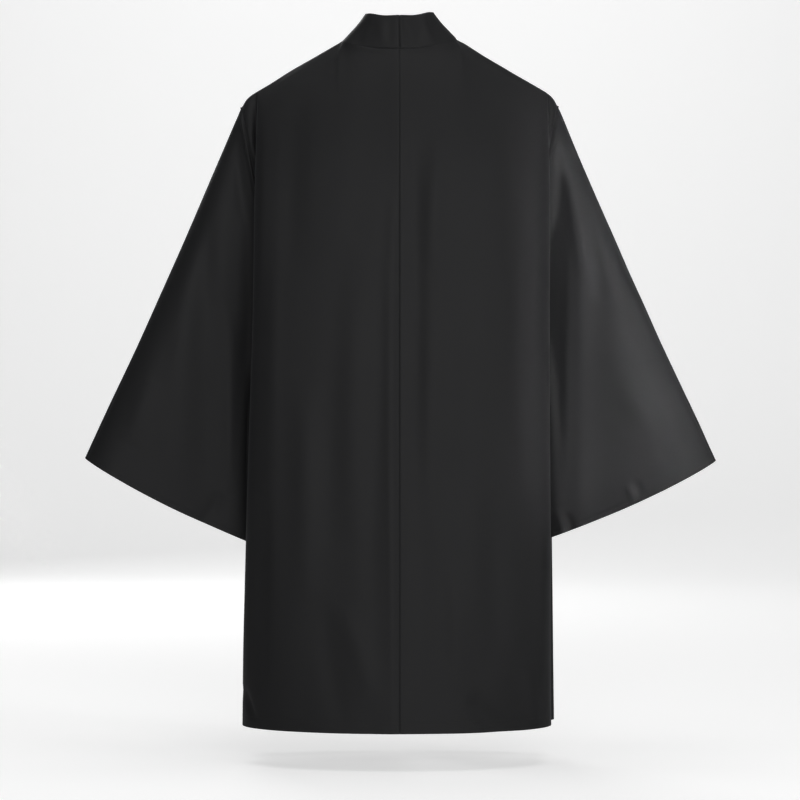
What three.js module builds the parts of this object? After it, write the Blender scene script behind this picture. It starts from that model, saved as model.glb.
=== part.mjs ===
// A hip-length open kimono jacket that keeps the form of a wearer with nobody inside it.
// Millimetres. +Z is up, the jacket faces -Y and the wearer's left is +X.
// The origin is at the base of the neck, level with the points where the shoulder seams meet the collar.
//
// Each cut piece is a thin wall. Its outer face is a grid of points: the rows run down the body or the
// sleeve, and the columns run outwards. Two pieces that are sewn together share the points of their seam,
// so they are worked out from the same functions, and a narrow gap is opened between them at the end.

import * as THREE from 'three';

const { lerp, clamp, degToRad, radToDeg, smoothstep } = THREE.MathUtils;

// ------------------------------------------------------------------------------------- driving sizes

const CLOTH = 1.5; // wall of one layer of cloth
const BAND_CLOTH = 3; // wall of the collar band, which is folded double
const SEAM_GAP = 0.32; // between two pieces at a seam
const MOST_SEAM_SHIFT = 1.2; // most that a piece draws back from a sharp seam

const HEM_Z = -847;
const BODY_DROP = 830; // from the crest of the shoulder to the hem
const NECK = { halfWidth: 71, backY: 58, backZ: -16, curve: 2.7 };
const SHOULDER = { slope: 0.594, seamY: 14, crestY: -5, roundFrom: 183, roundDrop: 4.5, tipBend: 40 };
const SHOULDER_REACH = { back: 160, front: 200 }; // drop in which the cloth rounds over the shoulder
const SHOULDER_CURVE = { neck: 1.7, tip: 1 }; // power of that rounding, which is fuller at the neck
const SEAM_ANGLE = 11; // degrees behind the crest, where the shoulder seam lies
const SEAM_DROP = SHOULDER_REACH.back * (1 - Math.cos(degToRad(SEAM_ANGLE)));

const ARMHOLE = {
  topX: 195.5,
  topY: 3,
  topZ: -82,
  bottomX: 152,
  bottomY: -6,
  height: 248,
  halfDepth: 40,
  curve: 1.15,
  valley: 0.6, // depth of the valley beside it, as a part of its overhang past the ridge
};
const ARMHOLE_SCALE = (ARMHOLE.topZ - HEM_Z) / BODY_DROP;
const UNDERARM_DROP = ARMHOLE.height / ARMHOLE_SCALE;

const SLEEVE = { bow: 4, cuffBow: 4, shapedFrom: 0.3, arm: 0.2, slackTo: 0.95, closing: 0.88, drop: 4 };
const CUFF = { x: 390, z: -517, topY: -8 };
const COLLAR = {
  width: 43,
  topHalfWidth: 41.5,
  topBackY: 50,
  topBackZ: 25,
  topSideY: 12,
  topSideZ: 31,
  turnLength: 230, // in which the band turns from upright at the neck to flat on the front
};
const FLAT_BAND = new THREE.Vector3(-1, -0.05, 0); // the way the band lies on the front
const FRONT_EDGE = { x: 62, straightBelow: -200 };

// Level sections of the body. A ridge is where the cloth folds round towards the side seam, and round is the
// power of the curve from the centre to that ridge: 2 is an ellipse, and more is squarer.
const BACK = [
  { z: -90, centreY: 106, ridgeY: 50, leftRidge: 175, rightRidge: 182, round: 2.5 },
  { z: -190, centreY: 110, ridgeY: 56, leftRidge: 176, rightRidge: 183, round: 2.5 },
  { z: -330, centreY: 107, ridgeY: 52, leftRidge: 179, rightRidge: 183.5, round: 2.5 },
  { z: -480, centreY: 104, ridgeY: 46, leftRidge: 183.5, rightRidge: 184.5, round: 2.4 },
  { z: -620, centreY: 104, ridgeY: 36, leftRidge: 187, rightRidge: 186, round: 2.2 },
  { z: -740, centreY: 105, ridgeY: 22, leftRidge: 189.5, rightRidge: 187, round: 2.05 },
  { z: -847, centreY: 107, ridgeY: 6, leftRidge: 191.5, rightRidge: 187, round: 2 },
];
const FRONT = [
  { z: -90, centreY: -104, ridgeY: -46, leftRidge: 177, rightRidge: 180, round: 2.5 },
  { z: -200, centreY: -118, ridgeY: -54, leftRidge: 179, rightRidge: 182, round: 2.5 },
  { z: -330, centreY: -117, ridgeY: -56, leftRidge: 181, rightRidge: 185, round: 2.5 },
  { z: -480, centreY: -113, ridgeY: -56, leftRidge: 184, rightRidge: 188, round: 2.4 },
  { z: -620, centreY: -110, ridgeY: -55, leftRidge: 187, rightRidge: 190.5, round: 2.3 },
  { z: -847, centreY: -112, ridgeY: -54, leftRidge: 190, rightRidge: 192.5, round: 2.2 },
];
// The side seam lies in the valley between the two ridges.
const SIDE_SEAM = [
  { z: -330, x: 152, y: -6 },
  { z: -400, x: 156, y: -8 },
  { z: -530, x: 164, y: -10 },
  { z: -640, x: 172, y: -13 },
  { z: -740, x: 178, y: -18 },
  { z: -847, x: 182, y: -24 },
];
// The underarm seam of the sleeve, from the armhole to the cuff.
const SLEEVE_BOTTOM = [
  { along: 0, x: 152, z: -330 },
  { along: 0.12, x: 167, z: -362 },
  { along: 0.3, x: 179, z: -426 },
  { along: 0.55, x: 184, z: -508 },
  { along: 0.8, x: 185, z: -576 },
  { along: 1, x: 184.5, z: -623 },
];
// The sleeve hangs from a rounded top: half its depth there, and lower down where the two layers hang together.
const SLEEVE_DEPTH = [
  { along: 0, top: 40, low: 22 },
  { along: 0.3, top: 40, low: 15 },
  { along: 0.65, top: 37, low: 10 },
  { along: 1, top: 33, low: 8 },
];

// The largest folds, as ridges (height above 0) and troughs (below 0). Each runs down a piece from one place to
// another, x being measured outwards from the centre back, and fades out at both ends.
const BACK_FOLDS = {
  left: [
    { topX: 9, topZ: -200, bottomX: 14, bottomZ: -900, width: 13, height: 2.6 },
    { topX: 70, topZ: -260, bottomX: 88, bottomZ: -900, width: 30, height: -3 },
    { topX: 150, topZ: -150, bottomX: 160, bottomZ: -900, width: 15, height: 2 },
  ],
  right: [
    { topX: 22, topZ: -260, bottomX: 26, bottomZ: -900, width: 16, height: -2.4 },
    { topX: 92, topZ: -330, bottomX: 80, bottomZ: -900, width: 28, height: 2.4 },
    { topX: 150, topZ: -200, bottomX: 146, bottomZ: -900, width: 18, height: -2.4 },
  ],
};
const FRONT_FOLDS = {
  left: [
    { topX: 100, topZ: -150, bottomX: 96, bottomZ: -900, width: 20, height: 5 },
    { topX: 140, topZ: -240, bottomX: 138, bottomZ: -900, width: 18, height: -6 },
  ],
  right: [
    { topX: 92, topZ: -190, bottomX: 104, bottomZ: -900, width: 22, height: -5 },
    { topX: 136, topZ: -210, bottomX: 142, bottomZ: -900, width: 18, height: 5 },
  ],
};
const SLEEVE_FOLDS = {
  left: [
    { topX: 203, topZ: -120, bottomX: 212, bottomZ: -700, width: 17, height: 6 },
    { topX: 236, topZ: -190, bottomX: 242, bottomZ: -700, width: 20, height: -7 },
    { topX: 270, topZ: -290, bottomX: 284, bottomZ: -700, width: 26, height: 4 },
  ],
  right: [
    { topX: 202, topZ: -120, bottomX: 212, bottomZ: -700, width: 18, height: 9 },
    { topX: 238, topZ: -200, bottomX: 240, bottomZ: -700, width: 20, height: -8 },
    { topX: 262, topZ: -380, bottomX: 360, bottomZ: -640, width: 28, height: 5 },
  ],
};
const FOLD = { topWidth: 0.6, early: 0.6, blunt: 0.8 }; // how a fold starts narrow and rises early and bluntly
const FOLDED_DEPTH = { from: 30, to: 70 }; // the body is smooth where it is shallower than this
const SLEEVE_FOLDED = { topFrom: 0.05, topTo: 0.3, lowFrom: 0.8, alongTo: 0.2 }; // and the sleeve near its seams

// Rows and columns of the panels.
const BACK_ANGLES = [20, 30, 40, 50, 60, 70, 80, 90]; // degrees round the shoulder
const FRONT_ANGLES = [0, 12, 22, 32, 42, 52, 62, 72, 81, 90];
const UNDERARM_STEPS = [190, 214, 236, 255, UNDERARM_DROP]; // drops of the armhole's lowest rows
const LEAST_STEP = 10;
const STEPS_TO_HEM = 11;
const NECK_STEPS = 6;
const SHOULDER_STEPS = 10;
const RETURN_STEPS = 6;
const SLEEVE_STEPS = 18;
const BAND_STEPS = 4;
const VALLEY_FLOOR_FROM = 0.75; // part of the way from the ridge to the side seam
const NECK_TURN = 19; // degrees of the back's section that lie under the neckline
const BACK_EASED = { rows: 13, columns: 15, times: 10, share: 0.6 };

const SIDES = [
  { name: 'left', sign: 1, ridge: 'leftRidge' },
  { name: 'right', sign: -1, ridge: 'rightRidge' },
];

// ------------------------------------------------------------------------------------- small helpers

/** Reads one column of a table at a place along its key column, on a smooth curve through the rows. */
function read(table, key, at, column) {
  const rows = table[0][key] < table[1][key] ? table : [...table].reverse();
  const last = rows.length - 1;
  const place = clamp(at, rows[0][key], rows[last][key]);
  const above = rows.findIndex((row, i) => i > 0 && place <= row[key]);
  const slope = (i) => {
    const [a, b] = [rows[Math.max(0, i - 1)], rows[Math.min(last, i + 1)]];
    return (b[column] - a[column]) / (b[key] - a[key]);
  };
  const [from, to] = [rows[above - 1], rows[above]];
  const span = to[key] - from[key];
  const rise = to[column] - from[column];
  const [leaving, arriving] = [slope(above - 1) * span, slope(above) * span];
  const t = (place - from[key]) / span;
  const bend = 3 * rise - 2 * leaving - arriving + t * (leaving + arriving - 2 * rise);
  return from[column] + t * (leaving + t * bend);
}

/** How far a set of folds lifts the cloth at a place x outwards and z up. */
function foldHeight(folds, x, z) {
  let height = 0;
  for (const fold of folds) {
    const down = (fold.topZ - z) / (fold.topZ - fold.bottomZ);
    if (down <= 0 || down >= 1) continue;
    const off = (x - lerp(fold.topX, fold.bottomX, down)) / (fold.width * lerp(FOLD.topWidth, 1, down));
    height += fold.height * Math.exp(-off * off) * Math.sin(Math.PI * down ** FOLD.early) ** FOLD.blunt;
  }
  return height;
}

// --------------------------------------------------------------------------- the lines pieces share

/** The crest of the shoulder, which rounds off at its tip. */
function crestZ(x) {
  const past = Math.max(0, (x - SHOULDER.roundFrom) / (ARMHOLE.topX - SHOULDER.roundFrom));
  return -SHOULDER.slope * (x - NECK.halfWidth) - SHOULDER.roundDrop * past ** 3;
}

/** The armhole at a drop below its top, on its back face (+1) or its front face (-1). */
function armhole(drop, face) {
  const down = clamp((drop * ARMHOLE_SCALE) / ARMHOLE.height, 0, 1);
  return new THREE.Vector3(
    lerp(ARMHOLE.bottomX, ARMHOLE.topX, (1 - down) ** ARMHOLE.curve),
    lerp(ARMHOLE.topY, ARMHOLE.bottomY, down) + face * ARMHOLE.halfDepth * Math.sqrt(4 * down * (1 - down)),
    ARMHOLE.topZ - ARMHOLE.height * down,
  );
}

/** The outer edge of a body panel: the armhole, and below it the side seam. */
function sideEdge(row) {
  if (row.drop <= UNDERARM_DROP) return armhole(row.drop, row.face);
  const z = ARMHOLE.topZ - row.drop * ARMHOLE_SCALE;
  return new THREE.Vector3(read(SIDE_SEAM, 'z', z, 'x'), read(SIDE_SEAM, 'z', z, 'y'), z);
}

/** The shoulder seam at a distance x from the centre. */
function shoulderSeam(x) {
  const tip = armhole(SEAM_DROP, 1);
  const along = (x - NECK.halfWidth) / (tip.x - NECK.halfWidth);
  const behindCrest = crestZ(x) - (SEAM_DROP * (crestZ(x) - HEM_Z)) / BODY_DROP;
  return new THREE.Vector3(
    x,
    lerp(SHOULDER.seamY, tip.y, along),
    lerp(behindCrest, tip.z, along ** SHOULDER.tipBend),
  );
}

/** The neckline of the back, from the centre (0) to the shoulder seam (1). */
function neckline(part) {
  const end = shoulderSeam(NECK.halfWidth);
  const angle = (part * Math.PI) / 2;
  return new THREE.Vector3(
    NECK.halfWidth * Math.sin(angle),
    lerp(end.y, NECK.backY, Math.cos(angle)),
    lerp(NECK.backZ, end.z, Math.sin(angle) ** NECK.curve),
  );
}

/** Where the front panel's edge hangs, to which the collar band is sewn. */
function frontEdgeX(z) {
  return lerp(FRONT_EDGE.x, NECK.halfWidth, smoothstep(z, FRONT_EDGE.straightBelow, 0));
}

// ------------------------------------------------------------------------------------ rows and columns

/** Rows of a body panel. turn is the angle round the shoulder, and face tells the back (+1) from the front. */
function bodyRows(angles, reach, face) {
  const rows = angles.map((turn) => ({ turn, face, drop: reach * (1 - Math.cos(degToRad(turn))) }));
  const low = UNDERARM_STEPS.filter((drop) => drop > reach + LEAST_STEP);
  for (let step = 1; step <= STEPS_TO_HEM; step++) low.push(lerp(UNDERARM_DROP, BODY_DROP, step / STEPS_TO_HEM));
  return [...rows, ...low.map((drop) => ({ turn: 90, face, drop }))];
}

const SEAM_ROW = { turn: 0, face: 1, drop: SEAM_DROP, onSeam: true };
const BACK_ROWS = [SEAM_ROW, ...bodyRows(BACK_ANGLES, SHOULDER_REACH.back, 1)];
const FRONT_ROWS = [SEAM_ROW, ...bodyRows(FRONT_ANGLES, SHOULDER_REACH.front, -1)];

/** Columns from the neck's edge out to the ridge (across, 0 to 1) and on round to the side seam (past, 0 to 1). */
function outerColumns() {
  const columns = [];
  for (let step = 0; step <= SHOULDER_STEPS; step++) columns.push({ across: step / SHOULDER_STEPS, past: 0 });
  for (let step = 1; step <= RETURN_STEPS; step++) columns.push({ across: 1, past: step / RETURN_STEPS });
  return columns;
}

/** A level section of the body from its centre to its ridge, and past the ridge to the panel's edge. */
function section(table, side, column, startTurn, z, edge) {
  const ridgeX = read(table, 'z', z, side.ridge);
  const ridgeY = read(table, 'z', z, 'ridgeY');
  if (column.past > 0) {
    const valley = ARMHOLE.valley * Math.max(0, edge.x - ridgeX) * Math.sin(Math.PI * column.past);
    const x = lerp(ridgeX, edge.x, smoothstep(column.past, 0, edge.x > ridgeX ? 1 : VALLEY_FLOOR_FROM));
    return { x, y: lerp(ridgeY, edge.y, column.past) - Math.sign(ridgeY) * valley };
  }
  const turn = degToRad(lerp(startTurn, 90, column.across));
  const power = 2 / read(table, 'z', z, 'round');
  const rise = Math.max(0, Math.cos(turn)) ** power;
  return { x: ridgeX * Math.sin(turn) ** power, y: lerp(ridgeY, read(table, 'z', z, 'centreY'), rise) };
}

/** How far the cloth has rounded over the shoulder at a row: 0 at the seam, and 1 where it hangs. */
function roundedOver(row, x, seamY, hangingY) {
  if (row.onSeam) return 0;
  const outwards = x / ARMHOLE.topX;
  const power = lerp(SHOULDER_CURVE.neck, SHOULDER_CURVE.tip, outwards);
  const gone = Math.sin(degToRad(row.turn)) ** power;
  if (row.face > 0) {
    const start = Math.sin(degToRad(SEAM_ANGLE)) ** power;
    return (gone - start) / (1 - start);
  }
  const crest = (seamY - lerp(SHOULDER.crestY, ARMHOLE.topY, outwards)) / (seamY - hangingY);
  return crest + (1 - crest) * gone;
}

/** One point of a body panel: its hanging section, drawn up to the seam it is sewn to at the top. */
function bodyPoint(row, top, hangingAt) {
  const scale = (top.z - HEM_Z) / (BODY_DROP - SEAM_DROP);
  const z = top.z - (row.drop - SEAM_DROP) * scale;
  const hanging = hangingAt(z, sideEdge(row));
  const high = hangingAt(top.z, sideEdge(SEAM_ROW));
  const left = 1 - roundedOver(row, top.x, top.y, hanging.y);
  return new THREE.Vector3(hanging.x + (top.x - high.x) * left, hanging.y + (top.y - high.y) * left, z);
}

/** The tops of the columns along the shoulder seam, which the back and the front share. */
function seamTops(side) {
  const tip = armhole(SEAM_DROP, 1);
  return outerColumns().map((column) => {
    if (column.past === 1) return tip;
    if (column.across === 0) return shoulderSeam(NECK.halfWidth);
    return shoulderSeam(section(BACK, side, column, NECK_TURN, tip.z, tip).x);
  });
}

// ------------------------------------------------------------------------------------------ the panels

/** Eases creases out of the inside of a grid: most in its top rows, and least where its columns reach the ridge. */
function easeTop(points, eased) {
  for (let time = 0; time < eased.times; time++) {
    const before = points.map((row) => row.map((point) => point.clone()));
    for (let r = 1; r < eased.rows; r++) {
      for (let c = 1; c < eased.columns; c++) {
        const mean = before[r - 1][c].clone().add(before[r + 1][c]).add(before[r][c - 1]).add(before[r][c + 1]);
        const share = eased.share * (1 - (r / eased.rows) ** 2) * (1 - (c / eased.columns) ** 2);
        points[r][c].lerp(mean.multiplyScalar(0.25), share);
      }
    }
  }
  return points;
}

/** Half of the back, from the centre seam to the side. */
function backPanel(side) {
  const columns = [];
  for (let step = 0; step < NECK_STEPS; step++) {
    const part = step / NECK_STEPS;
    columns.push({ top: neckline(part), column: { across: 0, past: 0 }, start: NECK_TURN * part });
  }
  const tops = seamTops(side);
  outerColumns().forEach((column, i) => columns.push({ top: tops[i], column, start: NECK_TURN }));
  const points = BACK_ROWS.map((row) =>
    columns.map(({ top, column, start }) => {
      const point = bodyPoint(row, top, (z, edge) => section(BACK, side, column, start, z, edge));
      const folded = smoothstep(point.y, FOLDED_DEPTH.from, FOLDED_DEPTH.to);
      point.y += foldHeight(BACK_FOLDS[side.name], point.x, point.z) * folded;
      return point;
    }),
  );
  return easeTop(points, BACK_EASED);
}

/** One front, from the edge that carries the collar band to the side. */
function frontPanel(side) {
  const tops = seamTops(side);
  const hanging = (column) => (z, edge) => {
    const power = read(FRONT, 'z', z, 'round') / 2;
    const start = radToDeg(Math.asin((frontEdgeX(z) / read(FRONT, 'z', z, side.ridge)) ** power));
    return section(FRONT, side, column, start, z, edge);
  };
  return FRONT_ROWS.map((row) =>
    outerColumns().map((column, i) => {
      const point = bodyPoint(row, tops[i], hanging(column));
      const clearOfBand = smoothstep(column.across, 0, 0.3);
      const folded = smoothstep(-point.y, FOLDED_DEPTH.from, FOLDED_DEPTH.to);
      point.y -= foldHeight(FRONT_FOLDS[side.name], point.x, point.z) * clearOfBand * folded;
      return point;
    }),
  );
}

/** One point of a sleeve, at a part of the way from the armhole (0) to the cuff (1), on the row of a body panel. */
function sleevePoint(row, along, side) {
  const root = armhole(row.drop, row.face);
  if (along === 0) return root;

  // Its place between the top and the bottom of the sleeve, seen from behind.
  const crest = armhole(0, 1);
  const down = (ARMHOLE.topZ - root.z) / ARMHOLE.height;
  const way = new THREE.Vector2(CUFF.x - crest.x, CUFF.z - crest.z).normalize();
  const top = new THREE.Vector2(lerp(crest.x, CUFF.x, along), lerp(crest.z, CUFF.z, along));
  top.x -= SLEEVE.bow * Math.sin(Math.PI * along);
  const bottom = new THREE.Vector2(
    read(SLEEVE_BOTTOM, 'along', along, 'x'),
    read(SLEEVE_BOTTOM, 'along', along, 'z'),
  );
  const place = top.lerp(bottom, down);
  place.addScaledVector(way, SLEEVE.cuffBow * along ** 2 * Math.sin(Math.PI * down));
  const shaped = smoothstep(along, 0, SLEEVE.shapedFrom);
  place.x += (root.x - lerp(ARMHOLE.topX, ARMHOLE.bottomX, down)) * (1 - shaped);

  // Its depth: round over the arm, slack below it, and closed at the underarm seam.
  const swell = Math.sqrt(1 - (1 - Math.min(1, down / SLEEVE.arm)) ** 2);
  const close = Math.sqrt(1 - clamp((down - SLEEVE.closing) / (1 - SLEEVE.closing), 0, 1) ** 2);
  const round = read(SLEEVE_DEPTH, 'along', along, 'top') * swell;
  const slack = smoothstep(down, SLEEVE.arm, SLEEVE.slackTo);
  const depth = lerp(round, read(SLEEVE_DEPTH, 'along', along, 'low'), slack) * close;
  const rootMiddle = lerp(ARMHOLE.topY, ARMHOLE.bottomY, down);
  const middle = lerp(rootMiddle, lerp(ARMHOLE.topY, CUFF.topY, along) - SLEEVE.drop * down, shaped);
  const folded =
    smoothstep(down, SLEEVE_FOLDED.topFrom, SLEEVE_FOLDED.topTo) *
    (1 - smoothstep(down, SLEEVE_FOLDED.lowFrom, 1)) *
    smoothstep(along, 0, SLEEVE_FOLDED.alongTo);
  const fold = foldHeight(SLEEVE_FOLDS[side.name], place.x, place.y) * folded;
  const y = middle + row.face * (lerp(Math.abs(root.y - rootMiddle), depth, shaped) + fold);
  return new THREE.Vector3(place.x, y, place.y);
}

/** The back or the front of a sleeve. Its rows carry on from those of the body panel it is sewn to. */
function sleevePanel(side, bodyPanelRows) {
  const armholeRows = bodyPanelRows.filter((row) => Math.round(row.drop - UNDERARM_DROP) <= 0);
  return armholeRows.map((row) => {
    const points = [];
    for (let step = 0; step <= SLEEVE_STEPS; step++) points.push(sleevePoint(row, step / SLEEVE_STEPS, side));
    return points;
  });
}

/** Half of the collar band, from the centre back round the neck and down the front edge to the hem. */
function collarBand(frontEdge) {
  const stations = [];
  for (let step = 0; step < NECK_STEPS; step++) {
    stations.push({ seam: neckline(step / NECK_STEPS), part: step / NECK_STEPS });
  }
  frontEdge.forEach((seam) => stations.push({ seam, part: 1 }));
  const topEdge = (part) => {
    const angle = (part * Math.PI) / 2;
    return new THREE.Vector3(
      COLLAR.topHalfWidth * Math.sin(angle),
      lerp(COLLAR.topSideY, COLLAR.topBackY, Math.cos(angle)),
      lerp(COLLAR.topBackZ, COLLAR.topSideZ, Math.sin(angle)),
    );
  };
  const shoulderLean = topEdge(1).sub(stations[NECK_STEPS].seam);
  let run = 0;
  return stations.map(({ seam, part }, i) => {
    const lean = part < 1 ? topEdge(part).sub(seam) : shoulderLean.clone();
    if (i > NECK_STEPS) {
      const before = stations[i - 1].seam;
      const after = stations[Math.min(i + 1, stations.length - 1)].seam;
      const way = after.clone().sub(before).normalize();
      run += seam.distanceTo(before);
      lean.normalize().lerp(FLAT_BAND, smoothstep(run, 0, COLLAR.turnLength));
      lean.addScaledVector(way, -lean.dot(way));
    }
    lean.setLength(COLLAR.width);
    const points = [];
    for (let step = 0; step <= BAND_STEPS; step++) points.push(seam.clone().addScaledVector(lean, step / BAND_STEPS));
    return points;
  });
}

// --------------------------------------------------------------------------------- sewing and thickening

/** A piece: a name, a grid of points on its outer face, their normals, its wall, and which way its grid faces. */
function piece(name, points, wall, facing, side) {
  const placed = points.map((row) => row.map((point) => new THREE.Vector3(point.x * side.sign, point.y, point.z)));
  const outward = facing * side.sign;
  const normals = placed.map((row, r) =>
    row.map((_, c) => {
      const pick = (i, j) => placed[clamp(i, 0, placed.length - 1)][clamp(j, 0, row.length - 1)];
      const across = pick(r, c + 1).clone().sub(pick(r, c - 1));
      const down = pick(r + 1, c).clone().sub(pick(r - 1, c));
      return across.cross(down).multiplyScalar(outward).normalize();
    }),
  );
  return { name, points: placed, normals, wall, outward };
}

/** Gives the points that several pieces share one common normal, so that the edges of their walls are parallel. */
function shareNormals(pieces) {
  const groups = new Map();
  for (const { points, normals } of pieces) {
    points.forEach((row, r) => {
      row.forEach((point, c) => {
        const onEdge = r === 0 || c === 0 || r === points.length - 1 || c === row.length - 1;
        if (!onEdge) return;
        const key = point.toArray().map((v) => v.toFixed(1)).join();
        if (!groups.has(key)) groups.set(key, []);
        groups.get(key).push(normals[r][c]);
      });
    });
  }
  for (const group of groups.values()) {
    const sum = new THREE.Vector3();
    group.forEach((normal) => sum.add(normal));
    sum.normalize();
    group.forEach((normal) => normal.copy(sum));
  }
}

/** Draws the edges of a piece back into it, by half a seam's gap measured square to the wall. */
function openSeams({ points, normals }) {
  const moves = [];
  const lastRow = points.length - 1;
  const lastColumn = points[0].length - 1;
  points.forEach((row, r) => {
    row.forEach((point, c) => {
      const besides = [row[Math.max(0, c - 1)], row[Math.min(lastColumn, c + 1)]];
      const aboveAndBelow = [points[Math.max(0, r - 1)][c], points[Math.min(lastRow, r + 1)][c]];
      const inwards = [];
      if (r === 0) inwards.push([points[1][c], ...besides]);
      if (r === lastRow) inwards.push([points[r - 1][c], ...besides]);
      if (c === 0) inwards.push([row[1], ...aboveAndBelow]);
      if (c === lastColumn) inwards.push([row[c - 1], ...aboveAndBelow]);
      for (const [towards, before, after] of inwards) {
        const way = after.clone().sub(before).normalize();
        const draw = towards.clone().sub(point);
        draw.addScaledVector(way, -draw.dot(way)).normalize();
        const square = draw.clone().addScaledVector(normals[r][c], -draw.dot(normals[r][c])).length();
        const shift = Math.min(MOST_SEAM_SHIFT, SEAM_GAP / (2 * square));
        moves.push([point, draw.multiplyScalar(shift)]);
      }
    });
  });
  moves.forEach(([point, move]) => point.add(move));
}

/** The closed wall of a piece: its outer face, the same grid moved in by the wall, and the strips round the edge. */
function wallGeometry({ points, normals, wall, outward }) {
  const rows = points.length;
  const columns = points[0].length;
  const count = rows * columns;
  const position = new Float32Array(count * 6);
  const at = (r, c) => r * columns + c;
  points.forEach((row, r) => {
    row.forEach((point, c) => {
      point.toArray(position, 3 * at(r, c));
      point.clone().addScaledVector(normals[r][c], -wall).toArray(position, 3 * (count + at(r, c)));
    });
  });

  const index = [];
  const triangle = (a, b, c) => index.push(...(outward > 0 ? [a, c, b] : [a, b, c]));
  for (let r = 0; r < rows - 1; r++) {
    for (let c = 0; c < columns - 1; c++) {
      const [a, b, d, e] = [at(r, c), at(r, c + 1), at(r + 1, c), at(r + 1, c + 1)];
      const falling = points[r][c].distanceTo(points[r + 1][c + 1]);
      const rising = points[r][c + 1].distanceTo(points[r + 1][c]);
      const halves = falling < rising ? [[a, e, d], [a, b, e]] : [[a, b, d], [b, e, d]];
      for (const [i, j, k] of halves) {
        triangle(i, k, j);
        triangle(count + i, count + j, count + k);
      }
    }
  }

  const rim = [];
  for (let c = 0; c < columns - 1; c++) rim.push([at(0, c), at(0, c + 1)]);
  for (let r = 0; r < rows - 1; r++) rim.push([at(r, columns - 1), at(r + 1, columns - 1)]);
  for (let c = columns - 1; c > 0; c--) rim.push([at(rows - 1, c), at(rows - 1, c - 1)]);
  for (let r = rows - 1; r > 0; r--) rim.push([at(r, 0), at(r - 1, 0)]);
  for (const [a, b] of rim) {
    triangle(a, b, count + b);
    triangle(a, count + b, count + a);
  }

  const geometry = new THREE.BufferGeometry();
  geometry.setAttribute('position', new THREE.BufferAttribute(position, 3));
  geometry.setIndex(index);
  geometry.computeVertexNormals();
  return geometry;
}

// ------------------------------------------------------------------------------------------ the jacket

const pieces = SIDES.flatMap((side) => {
  const front = frontPanel(side);
  return [
    piece(`back_${side.name}`, backPanel(side), CLOTH, 1, side),
    piece(`front_${side.name}`, front, CLOTH, -1, side),
    piece(`sleeve_back_${side.name}`, sleevePanel(side, BACK_ROWS), CLOTH, 1, side),
    piece(`sleeve_front_${side.name}`, sleevePanel(side, FRONT_ROWS), CLOTH, -1, side),
    piece(`collar_${side.name}`, collarBand(front.map((row) => row[0])), BAND_CLOTH, 1, side),
  ];
});
shareNormals(pieces);
pieces.forEach(openSeams);

const jacket = new THREE.Group();
jacket.name = 'kimono_jacket';
for (const cut of pieces) {
  const cloth = new THREE.MeshStandardMaterial({ color: 0x1b1b1d, roughness: 0.62, metalness: 0 });
  const mesh = new THREE.Mesh(wallGeometry(cut), cloth);
  mesh.name = cut.name;
  jacket.add(mesh);
}

export default jacket;
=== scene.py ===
# %% [markdown]
# # A kimono jacket, cut and sewn as panels
# The real jacket is ten flat pieces of one smooth black cloth: two backs, two fronts, four sleeve halves and
# a collar band in two halves. It could be sculpted as one skin, but then every seam would be a painted line.
# Here each cut piece is its own thin sheet, and two pieces that are sewn together share the points of their
# seam, so the seams are real joins that catch the light. Everything is in metres, +Z is up, the jacket faces
# -Y and the wearer's left is +X.

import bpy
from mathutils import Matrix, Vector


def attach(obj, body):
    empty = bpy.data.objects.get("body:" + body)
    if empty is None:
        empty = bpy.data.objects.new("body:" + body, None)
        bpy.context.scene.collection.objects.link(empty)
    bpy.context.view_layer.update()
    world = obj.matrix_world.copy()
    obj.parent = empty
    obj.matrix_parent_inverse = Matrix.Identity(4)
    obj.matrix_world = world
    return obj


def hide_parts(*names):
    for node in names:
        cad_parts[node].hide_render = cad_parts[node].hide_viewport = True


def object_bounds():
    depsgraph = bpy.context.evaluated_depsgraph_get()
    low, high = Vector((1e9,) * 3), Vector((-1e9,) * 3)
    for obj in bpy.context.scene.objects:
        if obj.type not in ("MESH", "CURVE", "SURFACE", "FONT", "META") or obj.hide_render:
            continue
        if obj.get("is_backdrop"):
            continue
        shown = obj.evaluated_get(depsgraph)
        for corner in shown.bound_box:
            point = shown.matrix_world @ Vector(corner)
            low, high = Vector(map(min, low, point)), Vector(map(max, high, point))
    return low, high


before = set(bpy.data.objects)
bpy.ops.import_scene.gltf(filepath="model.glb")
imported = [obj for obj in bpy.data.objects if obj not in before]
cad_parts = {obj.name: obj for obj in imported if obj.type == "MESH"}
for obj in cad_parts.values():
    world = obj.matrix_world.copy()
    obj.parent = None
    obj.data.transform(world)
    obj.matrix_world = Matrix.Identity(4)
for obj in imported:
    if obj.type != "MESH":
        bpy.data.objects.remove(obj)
cad_box = [list(corner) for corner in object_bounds()]

import math

import bpy
import numpy as np

print("nodes in the frame:", ", ".join(sorted(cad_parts)))

# %% [markdown]
# ## The sizes that drive the shape
# A garment's shape comes from a few measures: the neck, the shoulder's slope, the armhole and the cuff. They
# are the same measures as in the frame's solids, so the cloth lies where the solids are. The origin is at the
# base of the neck, level with the points where the shoulder seams meet the collar.

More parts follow.
